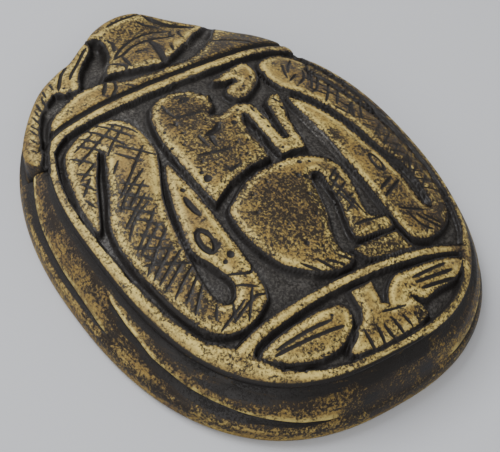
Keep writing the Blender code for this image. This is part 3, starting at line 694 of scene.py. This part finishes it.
def side_places(angle, share):
    """The side: the worked flank under the rim, or the wall under head and forelegs."""
    rim_x, rim_y = rim_oval(angle)
    base_x, base_y = base_oval(angle)
    after_x, after_y = base_oval(angle + 0.02)
    before_x, before_y = base_oval(angle - 0.02)
    out_x, out_y = after_y - before_y, before_x - after_x
    length = np.hypot(out_x, out_y)
    out_x, out_y = out_x / length, out_y / length
    legs, _ = leg_relief(angle, share)
    push = np.interp(share, profile_shares, profile_pushes) - side_hollow_depth(angle, share) + legs
    rim_z = dome(rim_x, rim_y) - rim_bevel
    flank_x = rim_x + (base_x - rim_x) * share + out_x * push
    flank_y = rim_y + (base_y - rim_y) * share + out_y * push
    flank_z = rim_z + (base_edge_height - rim_z) * share
    edge_x, edge_y, beyond = edge_of_back(angle)
    top_z = dome(edge_x, edge_y) - rim_bevel
    fall = np.interp(share, wall_shares, wall_falls)
    inwards_share = np.interp(share, wall_shares, wall_ins)
    past_foot = np.maximum(fall - 1, 0)
    wall_z = top_z + (wall_foot - top_z) * np.minimum(fall, 1)
    wall_z = wall_z - (wall_foot - base_edge_height) * past_foot * 10
    lean = 1 + head_wall_lean * (np.minimum(wall_z, head_top) - head_top)
    wall_x = edge_x * lean + (base_x - edge_x * lean) * inwards_share
    wall_y = edge_y * lean + (base_y - edge_y * lean) * inwards_share
    blend = eased((beyond - 0.2) / 1.2)
    x = flank_x + (wall_x - flank_x) * blend
    y = flank_y + (wall_y - flank_y) * blend
    z = flank_z + (wall_z - flank_z) * blend
    return x, y, z, blend


# Cutting: the ground is sunk with slightly sloping walls, the figures' edges are eased by wear,
# and every stroke is a small furrow that starts and ends shallow.
rng = np.random.default_rng(11)
waves = [(rng.normal(size=2) * 0.35, rng.uniform(0, 6.28)) for _ in range(14)]


def unevenness(x, y, scale=1.0):
    """Slow ups and downs of hand work, between about -1 and 1."""
    total = np.zeros(x.shape)
    for direction, start in waves:
        total += np.sin((x * direction[0] + y * direction[1]) * scale * 2 + start)
    return total / 5


foot_groove = 0.2
figure_rounding = 0.45
rounding_reach = 2.3


def sunk(x, y, margin, depth, slope):
    """Depth of a sunk ground, and the worn crest along its edge."""
    foot = np.exp(-((margin - slope - 0.25) / 0.4) ** 2) * (margin > 0)
    ground = depth * (1 + 0.08 * unevenness(x, y)) * eased(margin / slope) + foot_groove * foot
    standing = np.clip(1 + margin / rounding_reach, 0, 1) * (margin <= 0)
    ground += figure_rounding * standing ** 2
    crest = np.exp(-((margin + 0.9) / 0.5) ** 2) * 0.8
    return ground, crest


stroke_end = 1.2
end_share = 0.45


def furrow(x, y, line, width):
    """How far into a stroke the points near it lie, 1 along its middle and shallow at its ends."""
    some = np.flatnonzero(near(x, y, line, width + 1.5))
    away = distance_to(x[some], y[some], line)
    ends = np.minimum(
        np.hypot(x[some] - line[0][0], y[some] - line[0][1]),
        np.hypot(x[some] - line[-1][0], y[some] - line[-1][1]),
    )
    taper = end_share + (1 - end_share) * eased(ends / stroke_end)
    cut = np.exp(-((away / (width * 0.5 * taper)) ** 2) * 1.1) * (0.5 + 0.5 * taper)
    return cut, away, taper, some


where = places(stone.data)
row = np.rint(-where[:, 2]).astype(int)
angle = np.arctan2(where[:, 1], where[:, 0])
share = np.minimum(np.hypot(where[:, 0], where[:, 1]), 1)
rim_row = (row > 0) | (share > 0.9995)
share = np.where(rim_row, 1, share)
edge_x, edge_y, _ = edge_of_back(angle)
x, y = on_back(angle, share)
top = row == 0

# Each sunk place: its outline, the figures left standing in it, its depth and its wall's width.
groove_depth, groove_wall = 1.2, 0.8
sunk_places = (
    (picture_field, picture_figures, 1.35, 0.6),
    (lotus_ground, plant_figures, 1.15, 0.55),
    (valley, (), 1.5, 0.9),
    (cheek, (), 2.0, 1.1),
    (foreleg_groove, (), groove_depth, groove_wall),
)


def soft_patch(x, y, place, hard, soft):
    """A soft oval patch, 1 in its middle and 0 well outside it."""
    at_x, at_y, half_x, half_y = place
    away = np.hypot((x - at_x) / half_x, (y - at_y) / half_y)
    return 1 - eased((away - hard) / soft)


def margin_of(x, y, field, figures):
    """Distance into the sunk ground, less than nothing on stone that is left standing."""
    margin = inwards(x, y, field)
    for outline in figures:
        some = near(x, y, outline, 3)
        margin[some] = np.minimum(margin[some], -inwards(x[some], y[some], outline))
    return margin


# Points close to a wall's crest or foot are drawn onto it, so that the wall runs without steps.
tx, ty = x[top].copy(), y[top].copy()
free = share[top] < 0.985
pull_reach = 0.13
for field, figures, _, slope in sunk_places:
    some = near(tx, ty, field, 1.5) & free
    margin = margin_of(tx[some], ty[some], field, figures)
    close = np.abs(margin - slope / 2) < slope / 2 + 0.2
    keys = np.flatnonzero(some)[close]
    here = margin[close]
    nudge = 0.02
    slant_x = (margin_of(tx[keys] + nudge, ty[keys], field, figures) - here) / nudge
    slant_y = (margin_of(tx[keys], ty[keys] + nudge, field, figures) - here) / nudge
    for level in (0.0, slope):
        gap = here - level
        pull = (np.abs(gap) < pull_reach) & (np.hypot(slant_x, slant_y) > 0.9)
        tx[keys[pull]] -= gap[pull] * slant_x[pull]
        ty[keys[pull]] -= gap[pull] * slant_y[pull]
x[top], y[top] = tx, ty

top_depth, top_worn, line_depth = (np.zeros(tx.shape) for _ in range(3))
top_carved = np.full(tx.shape, -1.0)
nearest_cut = np.full(tx.shape, 9.0)
from_edge = (1 - share[top]) * np.hypot(edge_x[top], edge_y[top])
for field, figures, deepest, slope in sunk_places:
    margin = margin_of(tx, ty, field, figures)
    ground, crest = sunk(tx, ty, margin, deepest, slope)
    if field is valley:
        ground *= np.where(tx > 8, 0.15 + 0.85 * eased(from_edge / 5), 1)
    top_depth = np.maximum(top_depth, ground)
    top_carved = np.maximum(top_carved, margin + 0.15)
    top_worn = np.maximum(top_worn, crest)
    nearest_cut = np.minimum(nearest_cut, np.maximum(-margin, 0))
for line, width, deepest, black in cuts:
    cut, away, taper, some = furrow(tx, ty, line, width)
    line_depth[some] = np.maximum(line_depth[some], cut * deepest)
    top_carved[some] = np.maximum(top_carved[some], black * (0.5 * width * taper + 0.1) - away)
    nearest_cut[some] = np.minimum(nearest_cut[some], away - width / 2 + 0.5)
for px, py, radius, deepest, tall in pits:
    away = np.hypot(tx - px, (ty - py) / tall)
    cut = np.exp(-((away / (radius * 0.8)) ** 2))
    line_depth = np.maximum(line_depth, cut * deepest)
    top_carved = np.maximum(top_carved, radius * 0.9 - away)
top_depth = top_depth + line_depth
top_depth += rim_bevel * (1 - eased(from_edge / 1.2)) ** 1.3
top_depth += 0.07 * (1 + unevenness(tx, ty)) * eased(from_edge / 2)

depth, soot_and_shade, wear_and_edge_highlight, grime_and_painted_light, carved = (np.zeros(x.shape) for _ in range(5))
depth[top] = top_depth
carved[top] = np.clip(0.5 + top_carved, 0, 1)
degrees = np.degrees(np.mod(angle, 2 * math.pi))
back_degrees = degrees[top]
soot_reach = 0.15 + 0.35 * eased((back_degrees - 165) / 35)
edge_soot = eased((soot_reach - from_edge) / 0.5 + 0.5) * eased((back_degrees - 146) / 4)
soot_and_shade[top] = edge_soot * 0.95 * eased((288 - back_degrees) / 20)
wear_and_edge_highlight[top] = np.maximum(top_worn, np.exp(-((from_edge - 1.6) / 0.6) ** 2) * 0.8)
z = dome(x, y) - depth

side = row > 0
down = side_share(np.minimum(row[side], SIDE_ROWS), angle[side])
sx, sy, sz, under_head = side_places(angle[side], down)
margin = inwards(edge_x[side], edge_y[side], foreleg_groove)
run_off = groove_depth * eased(margin / groove_wall) * (1 - eased(down / 0.35))
run_black = eased((margin + 0.3) / 0.5) * (1 - eased(down / 0.3))
x[side], y[side], z[side] = sx, sy, sz - run_off
_, painted_shade_below_legs = leg_relief(angle[side], down)
side_degrees = turned_left(angle[side])
bare = 1 - under_head
far_side = eased((degrees[side] - 275) / 15)
below_rim = (0.7 + 0.25 * eased((down - 0.06) / 0.05)) * eased((0.28 - down) / 0.11) * bare
# Blackening on the side: a band below the rim, the foreleg groove running off, painted shade in the
# hollows below the leg edges, the gouged hollows, and a darker band low on the wall under the head and
# forelegs, where it turns in.
side_soot_and_shade = np.maximum.reduce([
    below_rim * (1 - 0.45 * far_side), run_black, painted_shade_below_legs * bare,
    eased(side_hollow_depth(angle[side], down) / 0.8) * 0.85,
    under_head * eased((down - 0.6) / 0.25) * (down < 0.97),
])
side_patches = (
    (192, 0.2, 5, 0.08, 0.5), (205, 0.28, 12, 0.1, 0.6), (225, 0.32, 16, 0.1, 0.9),
    (247, 0.28, 14, 0.1, 0.9), (268, 0.3, 8, 0.12, 0.8), (264, 0.6, 3, 0.16, 0.7),
    (261, 0.8, 3, 0.1, 0.5), (220, 0.9, 10, 0.05, 0.5), (204, 0.88, 6, 0.1, 0.5),
    (240, 0.9, 9, 0.04, 0.4), (157, 0.86, 8, 0.12, 0.5),
)
for *place, amount in side_patches:
    patch = amount * soft_patch(side_degrees, down, place, 0.4, 0.9) * bare
    side_soot_and_shade = np.maximum(side_soot_and_shade, patch)
soot_and_shade[side] = side_soot_and_shade
# Painted light on the legs: a thin pale painted highlight along each leg's lower edge, and a lighter
# painted band just above it, where the ridge turns up to the light.
painted_leg_edge_highlight = np.zeros(down.shape)
painted_light_above_leg_edge = np.zeros(down.shape)
for route in (middle_leg_edge, hind_leg_edge):
    leg_down, leg_wide = leg_edge(angle[side], route)
    there = eased(leg_wide / 0.06) * bare
    line = there * np.exp(-(((down - leg_down + 0.012) / 0.03) ** 2)) * (down < leg_down + 0.01)
    painted_leg_edge_highlight = np.maximum(painted_leg_edge_highlight, line)
    painted_light_above_leg_edge = np.maximum(painted_light_above_leg_edge, there * eased(1 - np.abs(down - leg_down + 0.1) / 0.14))
# The painted edge highlight goes into the wear values, with a faint pale band near the base.
wear_and_edge_highlight[side] = np.maximum(painted_leg_edge_highlight * 1.5, np.exp(-((down - 0.9) / 0.05) ** 2) * 0.3)

foot_rows = row > SIDE_ROWS
levels, insets = np.array(under_rows)[np.clip(row - SIDE_ROWS - 1, 0, None)].T
fx, fy = base_oval(angle, insets)
x[foot_rows], y[foot_rows], z[foot_rows] = fx[foot_rows], fy[foot_rows], levels[foot_rows]
soot_and_shade[foot_rows] = np.where(np.abs(insets[foot_rows] - cut_line_inset) < 0.3, 0.9, 0.05)

# Handling and dirt: how grimy the stone is from place to place, as old hands and dust left it,
# from 0 for clean rubbed edges to 1 for nearly black. Each place is a soft oval patch, given by its
# middle, its half sizes and how much grime it adds.
grime_patches = (
    (-22, 14, 7, 10, 0.12), (-26, 2, 5, 14, 0.2), (-25.5, -12, 5, 9, 0.25), (-20, -21, 6, 4, 0.15),
    (-19, 7.5, 2.2, 3.5, -0.3), (-20.8, 14.5, 1.6, 2.2, -0.3), (-25.6, -16.6, 2, 2.4, 0.35),
    (-17, -6, 3, 10, -0.05), (-5, 12, 9, 14, 0.32), (-11.5, 12, 1.6, 9, -0.2),
    (-5, 18, 5, 4, 0.2), (2, 8, 3, 8, 0.05), (-5, 4, 8, 5, 0.1), (-1, -11, 11, 11, 0.42),
    (0, -8, 6, 5, 0.25), (-6, -19, 5, 3, -0.2), (6, -2, 6, 2, -0.2), (10, -11, 3, 7, 0.15),
    (9, -19, 6, 3, 0.2), (11, 8, 4, 7, 0.15), (10, 21, 6, 5, 0.12), (9.5, 18, 3, 2, 0.3),
    (22, 20, 7, 8, 0.15), (25, 20, 4, 6, 0.1), (18, 19, 2.6, 5, -0.3), (28, 5, 4, 14, 0.3),
    (28, -12, 4, 10, 0.35), (9, -23.4, 7, 2, 0.75), (27, -27, 4, 8, 0.3), (18, -36, 6, 3, 0.25),
    (19, 6.5, 2.2, 3, -0.25), (17, 1, 2, 2.5, 0.5), (20, -3.5, 2.5, 2, 0.3),
    (23, -6, 1.4, 4, -0.3), (19, -14, 5, 6, 0.3), (23, -21, 6, 4, 0.3),
    (-14, -30, 9, 2, -0.05), (-10, -34, 8, 2, 0.15), (3, -31, 5, 4, -0.1), (3, -36, 8, 2.5, 0.1),
    (9, -36.4, 2.4, 1.6, 0.4), (14, -31, 9, 4, 0), (22, 34.5, 8, 3, 0.35), (20, 40, 5, 4, 0.3),
    (3, 46, 9, 5, 0.3), (10, 44, 6, 5, 0.2), (1, 38, 6, 3, 0.3), (-8, 38, 5, 3, 0.1),
    (0, 31, 12, 2.5, 0.25), (14, 33, 10, 4, 0.45), (25, 33, 5, 5, 0.5), (-25, 38, 8, 6, 0.1),
    (-17, 37.5, 1.2, 0.8, 0.4), (31, 20, 4, 16, 0.25), (33, -5, 4, 18, 0.3),
    (-24, -30, 5, 3, 0.2), (-10, -39, 8, 1.6, 0.15),
)
top_grime = np.full(tx.shape, 0.45)
for *place, amount in grime_patches:
    top_grime += amount * soft_patch(tx, ty, place, 0.5, 0.8)
top_grime = np.clip(top_grime, 0, 1)
top_grime += 0.12 * unevenness(tx, ty, 1.8)
top_grime += 0.35 * np.exp(-nearest_cut / 0.4)
grime_and_painted_light[top] = np.clip(top_grime, 0, 1)
by_base = eased((down - 0.78) / 0.06)
# On the flank some painted light is taken off the darkness: the lighter band above each leg edge here,
# and the pale edge line below.
flank_grime_and_painted_light = 1.0 + 0.25 * unevenness(x[side], y[side], 0.8) - 0.12 * by_base - 0.35 * painted_light_above_leg_edge
flank_lights = (
    (176, 0.42, 7, 0.12, 0.4), (198, 0.78, 7, 0.1, 0.6), (186, 0.6, 6, 0.12, 0.3),
    (228, 0.94, 14, 0.05, 0.35), (255, 0.65, 7, 0.14, 0.3), (248, 0.5, 10, 0.1, 0.2),
    (165, 0.9, 12, 0.06, 0.3), (183, 0.9, 8, 0.06, 0.25),
)
for *place, amount in flank_lights:
    flank_grime_and_painted_light -= amount * soft_patch(side_degrees, down, place, 0.4, 0.9)
grime_and_painted_light[side] = np.clip(flank_grime_and_painted_light - 0.8 * painted_leg_edge_highlight, 0, 1.2)
grime_and_painted_light[foot_rows] = 0.35 + 0.1 * unevenness(x[foot_rows], y[foot_rows], 1.0)

# Brown patina: uneven all over, most on the beetle's right and the flank, least on the thigh.
brown = np.clip(0.2 + 0.35 * unevenness(x + 40, y, 0.6), 0, 1)
brown += 0.5 * eased((x - 18) / 8) * (y < 36)
brown *= 1 - 0.8 * (1 - eased((np.hypot(x, y + 11) - 9) / 4))
brown[side] += 0.35
brown = np.clip(brown, 0, 1)
flank = np.zeros(x.shape)
flank[side & ~foot_rows] = 1 - under_head[row[side] <= SIDE_ROWS] * 0.6

# Pale dust has settled in the deeper ground. It lies thinly all over it and thicker in a few
# corners and along the feet of the figures, where a cloth doesn't reach. One patch, on the right
# wall of the hollow by the left cheek, is painted light on that sloping wall, not dust.
dust_and_wall_light = np.zeros(x.shape)
top_dust_and_wall_light = np.zeros(tx.shape)
for field, figures, _, slope in sunk_places:
    margin = margin_of(tx, ty, field, figures)
    top_dust_and_wall_light = np.maximum(top_dust_and_wall_light, 0.3 * eased((margin - slope) / 0.5))
dust_and_wall_light_patches = (
    (-12.5, 25.3, 3, 1, 0.9), (-14, 15, 0.8, 9, 0.5), (-13.6, 1, 0.8, 8, 0.35),
    # the patch at (-8.4, 40) is painted light on the cheek hollow's sloping right wall
    (-20.7, 35, 1.8, 1.2, 0.9), (-22.5, 34.6, 2, 1.6, 0.5), (-8.4, 40, 2.2, 3.4, 0.6),
    (12, 37.6, 5, 1.8, 0.5), (15.2, 3, 1, 9, 0.5), (14, -9, 1, 8, 0.4), (-8.4, -22, 4, 1, 0.4),
    (2, 27.2, 8, 0.7, 0.4), (17, 17, 1, 4, 0.4),
)
for *place, amount in dust_and_wall_light_patches:
    top_dust_and_wall_light = np.maximum(top_dust_and_wall_light, amount * soft_patch(tx, ty, place, 0.3, 0.8))
dust_and_wall_light[top] = top_dust_and_wall_light

put_places(stone.data, np.stack([x, y - middle_y, z], 1) * MM)
finish_values = {
    "soot_and_shade": soot_and_shade, "wear_and_edge_highlight": wear_and_edge_highlight, "brown": brown, "grime_and_painted_light": grime_and_painted_light, "flank": flank, "dust_and_wall_light": dust_and_wall_light,
    "carved": carved,
}
for name, values in finish_values.items():
    held = stone.data.attributes.new(name, "FLOAT", "POINT")
    held.data.foreach_set("value", values.astype(np.float32))
bpy.ops.object.mode_set(mode="EDIT")
bpy.ops.mesh.select_all(action="SELECT")
bpy.ops.mesh.normals_make_consistent(inside=False)
bpy.ops.mesh.select_all(action="DESELECT")
bpy.ops.object.mode_set(mode="OBJECT")
bpy.ops.object.shade_smooth()

# Finish: yellow-brown steatite, rubbed and handled. Old dirt fills the cuts nearly black with a
# faint sheen, brown patina lies over the rest, and the edges are rubbed back to pale ochre. On the
# side the black also serves as painted shade below the leg edges, and the pale ochre as a painted
# highlight along them. The dust grey also serves as painted light on one wall of the cheek hollow.
PALE_OCHRE = (0.235, 0.155, 0.036)
BRIGHT_OCHRE = (0.56, 0.42, 0.105)
# pale polished ochre, also the colour of the painted highlight along the leg edges
POLISHED_AND_EDGE_HIGHLIGHT = (0.88, 0.71, 0.22)
DEEP_OCHRE = (0.21, 0.13, 0.032)
BROWN = (0.115, 0.066, 0.026)
STAIN = (0.052, 0.034, 0.017)
OLD_DIRT = (0.012, 0.008, 0.006)
# near-black soot, also the colour of the painted shade below the leg edges
SOOT_AND_SHADE = (0.0105, 0.0086, 0.0078)
# pale dust grey, also the colour of the painted light on the cheek hollow's right wall
DUST_AND_WALL_LIGHT = (0.16, 0.15, 0.135)
steatite = bpy.data.materials.new("worn_steatite")
steatite.use_nodes = True
nodes = steatite.node_tree.nodes
links = steatite.node_tree.links
shader = nodes["Principled BSDF"]


def node(kind, **settings):
    """A new node in the stone's material."""
    made = nodes.new(kind)
    for key, value in settings.items():
        setattr(made, key, value)
    return made


def put(made, values):
    """Plain numbers and colours on a node's own sockets."""
    for name, value in values.items():
        made.inputs[name].default_value = value


def held_value(name):
    """One of the values that the mesh carries at each of its points."""
    return node("ShaderNodeAttribute", attribute_type="GEOMETRY", attribute_name=name).outputs["Fac"]


coordinates = node("ShaderNodeTexCoord").outputs["Object"]


def noise(size_mm, detail=4.0, rough=0.55, seed=0.0):
    """Even noise whose blotches are about the given size."""
    made = node("ShaderNodeTexNoise", noise_dimensions="4D")
    placed = node("ShaderNodeMapping")
    sizes = size_mm if isinstance(size_mm, tuple) else (size_mm,) * 3
    put(placed, {"Scale": [1 / size for size in sizes]})
    links.new(coordinates, placed.inputs["Vector"])
    links.new(placed.outputs["Vector"], made.inputs["Vector"])
    put(made, {"W": seed, "Scale": 1 / MM, "Detail": detail, "Roughness": rough})
    return made.outputs["Fac"]


def between(value, low, high, low_out=0.0, high_out=1.0):
    """A mask that rises softly from low to high."""
    made = node("ShaderNodeMapRange", interpolation_type="SMOOTHSTEP")
    links.new(value, made.inputs["Value"])
    put(made, {"From Min": low, "From Max": high, "To Min": low_out, "To Max": high_out})
    return made.outputs["Result"]


def sums(operation, a, b):
    """One sum on two values, kept between 0 and 1 unless it takes one from the other."""
    made = node("ShaderNodeMath", operation=operation)
    made.use_clamp = operation != "SUBTRACT"
    for socket, value in zip(made.inputs, (a, b)):
        if isinstance(value, (int, float)):
            socket.default_value = value
        else:
            links.new(value, socket)
    return made.outputs[0]


def times(a, b):
    return sums("MULTIPLY", a, b)


def plus(a, b):
    return sums("ADD", a, b)


def less(a, b):
    return sums("SUBTRACT", a, b)


def coloured(mask, below, above):
    """One colour where the mask is 0, and another over it where the mask is 1."""
    made = node("ShaderNodeMix", data_type="RGBA")
    links.new(mask, made.inputs["Factor"])
    for socket, value in ((made.inputs[6], below), (made.inputs[7], above)):
        if isinstance(value, tuple):
            socket.default_value = value + (1,)
        else:
            links.new(value, socket)
    return made.outputs[2]


soot_and_shade_here, wear_and_edge_highlight_here, brown_here, grime_and_painted_light_here, flank_here, dust_and_wall_light_here, carved_here = (
    held_value(name) for name in finish_values
)
blotches = noise(7, 4, 0.6, 1)
mottle = noise(1.7, 5, 0.65, 2)
flecks = noise(0.5, 3, 0.7, 3)
grain = noise(0.2, 2, 0.6, 4)
streaks = noise((7, 7, 0.45), 4, 0.6, 5)

fine = plus(times(flecks, 0.6), times(grain, 0.15))
tone = plus(times(mottle, 0.6), times(grain, 0.4))
stone_colour = coloured(between(tone, 0.42, 0.60), PALE_OCHRE, BRIGHT_OCHRE)
stone_colour = coloured(between(blotches, 0.42, 0.62, 0, 0.6), stone_colour, DEEP_OCHRE)
# polish: pale tone spots and wear, and through the wear values the painted highlight along the leg
# edges
polish_and_edge_highlight = plus(between(tone, 0.55, 0.64), wear_and_edge_highlight_here)
stone_colour = coloured(times(polish_and_edge_highlight, 0.7), stone_colour, POLISHED_AND_EDGE_HIGHLIGHT)
browned = times(brown_here, between(mottle, 0.4, 0.56, 0.25, 1))
stone_colour = coloured(browned, stone_colour, BROWN)
pattern = plus(fine, times(mottle, 0.25))
streaky = times(less(streaks, 0.5), times(flank_here, 0.35))
pattern = plus(pattern, streaky)
dirt = plus(pattern, times(grime_and_painted_light_here, 0.16))
dirt = less(dirt, times(wear_and_edge_highlight_here, 0.025))
stained = between(dirt, 0.53, 0.62, 0, 0.75)
blackened = between(dirt, 0.605, 0.66, 0, 0.95)
stone_colour = coloured(stained, stone_colour, STAIN)
stone_colour = coloured(blackened, stone_colour, OLD_DIRT)
rough_edge = times(less(flecks, 0.5), 0.25)
rubbed_streaks = times(between(streaks, 0.5, 0.62), times(flank_here, 0.4))
# soot and cut ground go black, and through the same values the painted shade below the leg edges
sooty_and_shaded = between(less(plus(soot_and_shade_here, rough_edge), rubbed_streaks), 0.3, 0.65)
cut_in = between(plus(carved_here, rough_edge), 0.44, 0.6)
sooty_and_shaded = sums("MAXIMUM", sooty_and_shaded, cut_in)
# dust, and the painted light on the cheek hollow's right wall
dusted_and_wall_light = times(dust_and_wall_light_here, between(fine, 0.33, 0.45, 0.1, 1))
soot_and_shade_colour = coloured(dusted_and_wall_light, SOOT_AND_SHADE, DUST_AND_WALL_LIGHT)
links.new(coloured(sooty_and_shaded, stone_colour, soot_and_shade_colour), shader.inputs["Base Color"])
gloss = plus(times(blackened, 0.4), times(grain, 0.5))
links.new(between(gloss, 0.1, 0.75, 0.62, 0.42), shader.inputs["Roughness"])
put(shader, {"Specular IOR Level": 0.3})
relief = plus(times(flecks, 0.5), times(grain, 0.15))
relief = less(relief, times(blackened, 0.35))
bump = node("ShaderNodeBump")
put(bump, {"Strength": 0.7, "Distance": 0.2 * MM})
links.new(relief, bump.inputs["Height"])
links.new(bump.outputs["Normal"], shader.inputs["Normal"])
stone.data.materials.append(steatite)

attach(stone, "root")
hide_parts("scarab")

# The studio: a plain pale floor, one large soft light from behind the head's side, a weak one to
# fill in from the front, and the camera where the photograph was taken.
bpy.ops.object.select_all(action="DESELECT")
bpy.ops.mesh.primitive_plane_add(size=6, location=(0, 0, 0))
floor = bpy.context.object
floor.name = "floor"
pale = bpy.data.materials.new("pale_floor")
pale.use_nodes = True
put(pale.node_tree.nodes["Principled BSDF"], {"Base Color": (0.52, 0.535, 0.57, 1), "Roughness": 0.9})
floor.data.materials.append(pale)

world = bpy.data.worlds.new("studio")
world.use_nodes = True
put(world.node_tree.nodes["Background"], {"Color": (1, 0.98, 0.95, 1), "Strength": 0.55})
bpy.context.scene.world = world


def soft_light(name, place, size, power):
    bpy.ops.object.light_add(type="AREA", location=place)
    lamp = bpy.context.object
    lamp.name = name
    lamp.data.size = size
    lamp.data.energy = power
    towards = -lamp.location
    lamp.rotation_euler = towards.to_track_quat("-Z", "Y").to_euler()


soft_light("window", (-0.25, 0.55, 0.75), 0.5, 9)
soft_light("fill", (-0.6, -0.5, 0.6), 0.7, 4)

bpy.ops.object.camera_add()
camera = bpy.context.object
camera.name = "camera"
turn, lift, roll = math.radians(-48.89), math.radians(49.35), math.radians(16.72)
back = Vector((math.sin(turn) * math.cos(lift), -math.cos(turn) * math.cos(lift), math.sin(lift)))
right = (-back).cross(Vector((0, 0, 1))).normalized()
up = right.cross(-back)
across = right * math.cos(roll) + up * math.sin(roll)
upwards = up * math.cos(roll) - right * math.sin(roll)
aim = Vector((-5.669, -5.355 - middle_y, 10)) * MM
distance = 248.88
turned = Matrix((across, upwards, back)).transposed().to_4x4()
camera.matrix_world = Matrix.Translation(aim + back * distance * MM) @ turned
camera.data.sensor_width = 36
camera.data.lens = 100.8
camera.data.clip_start = 0.01
bpy.context.scene.camera = camera
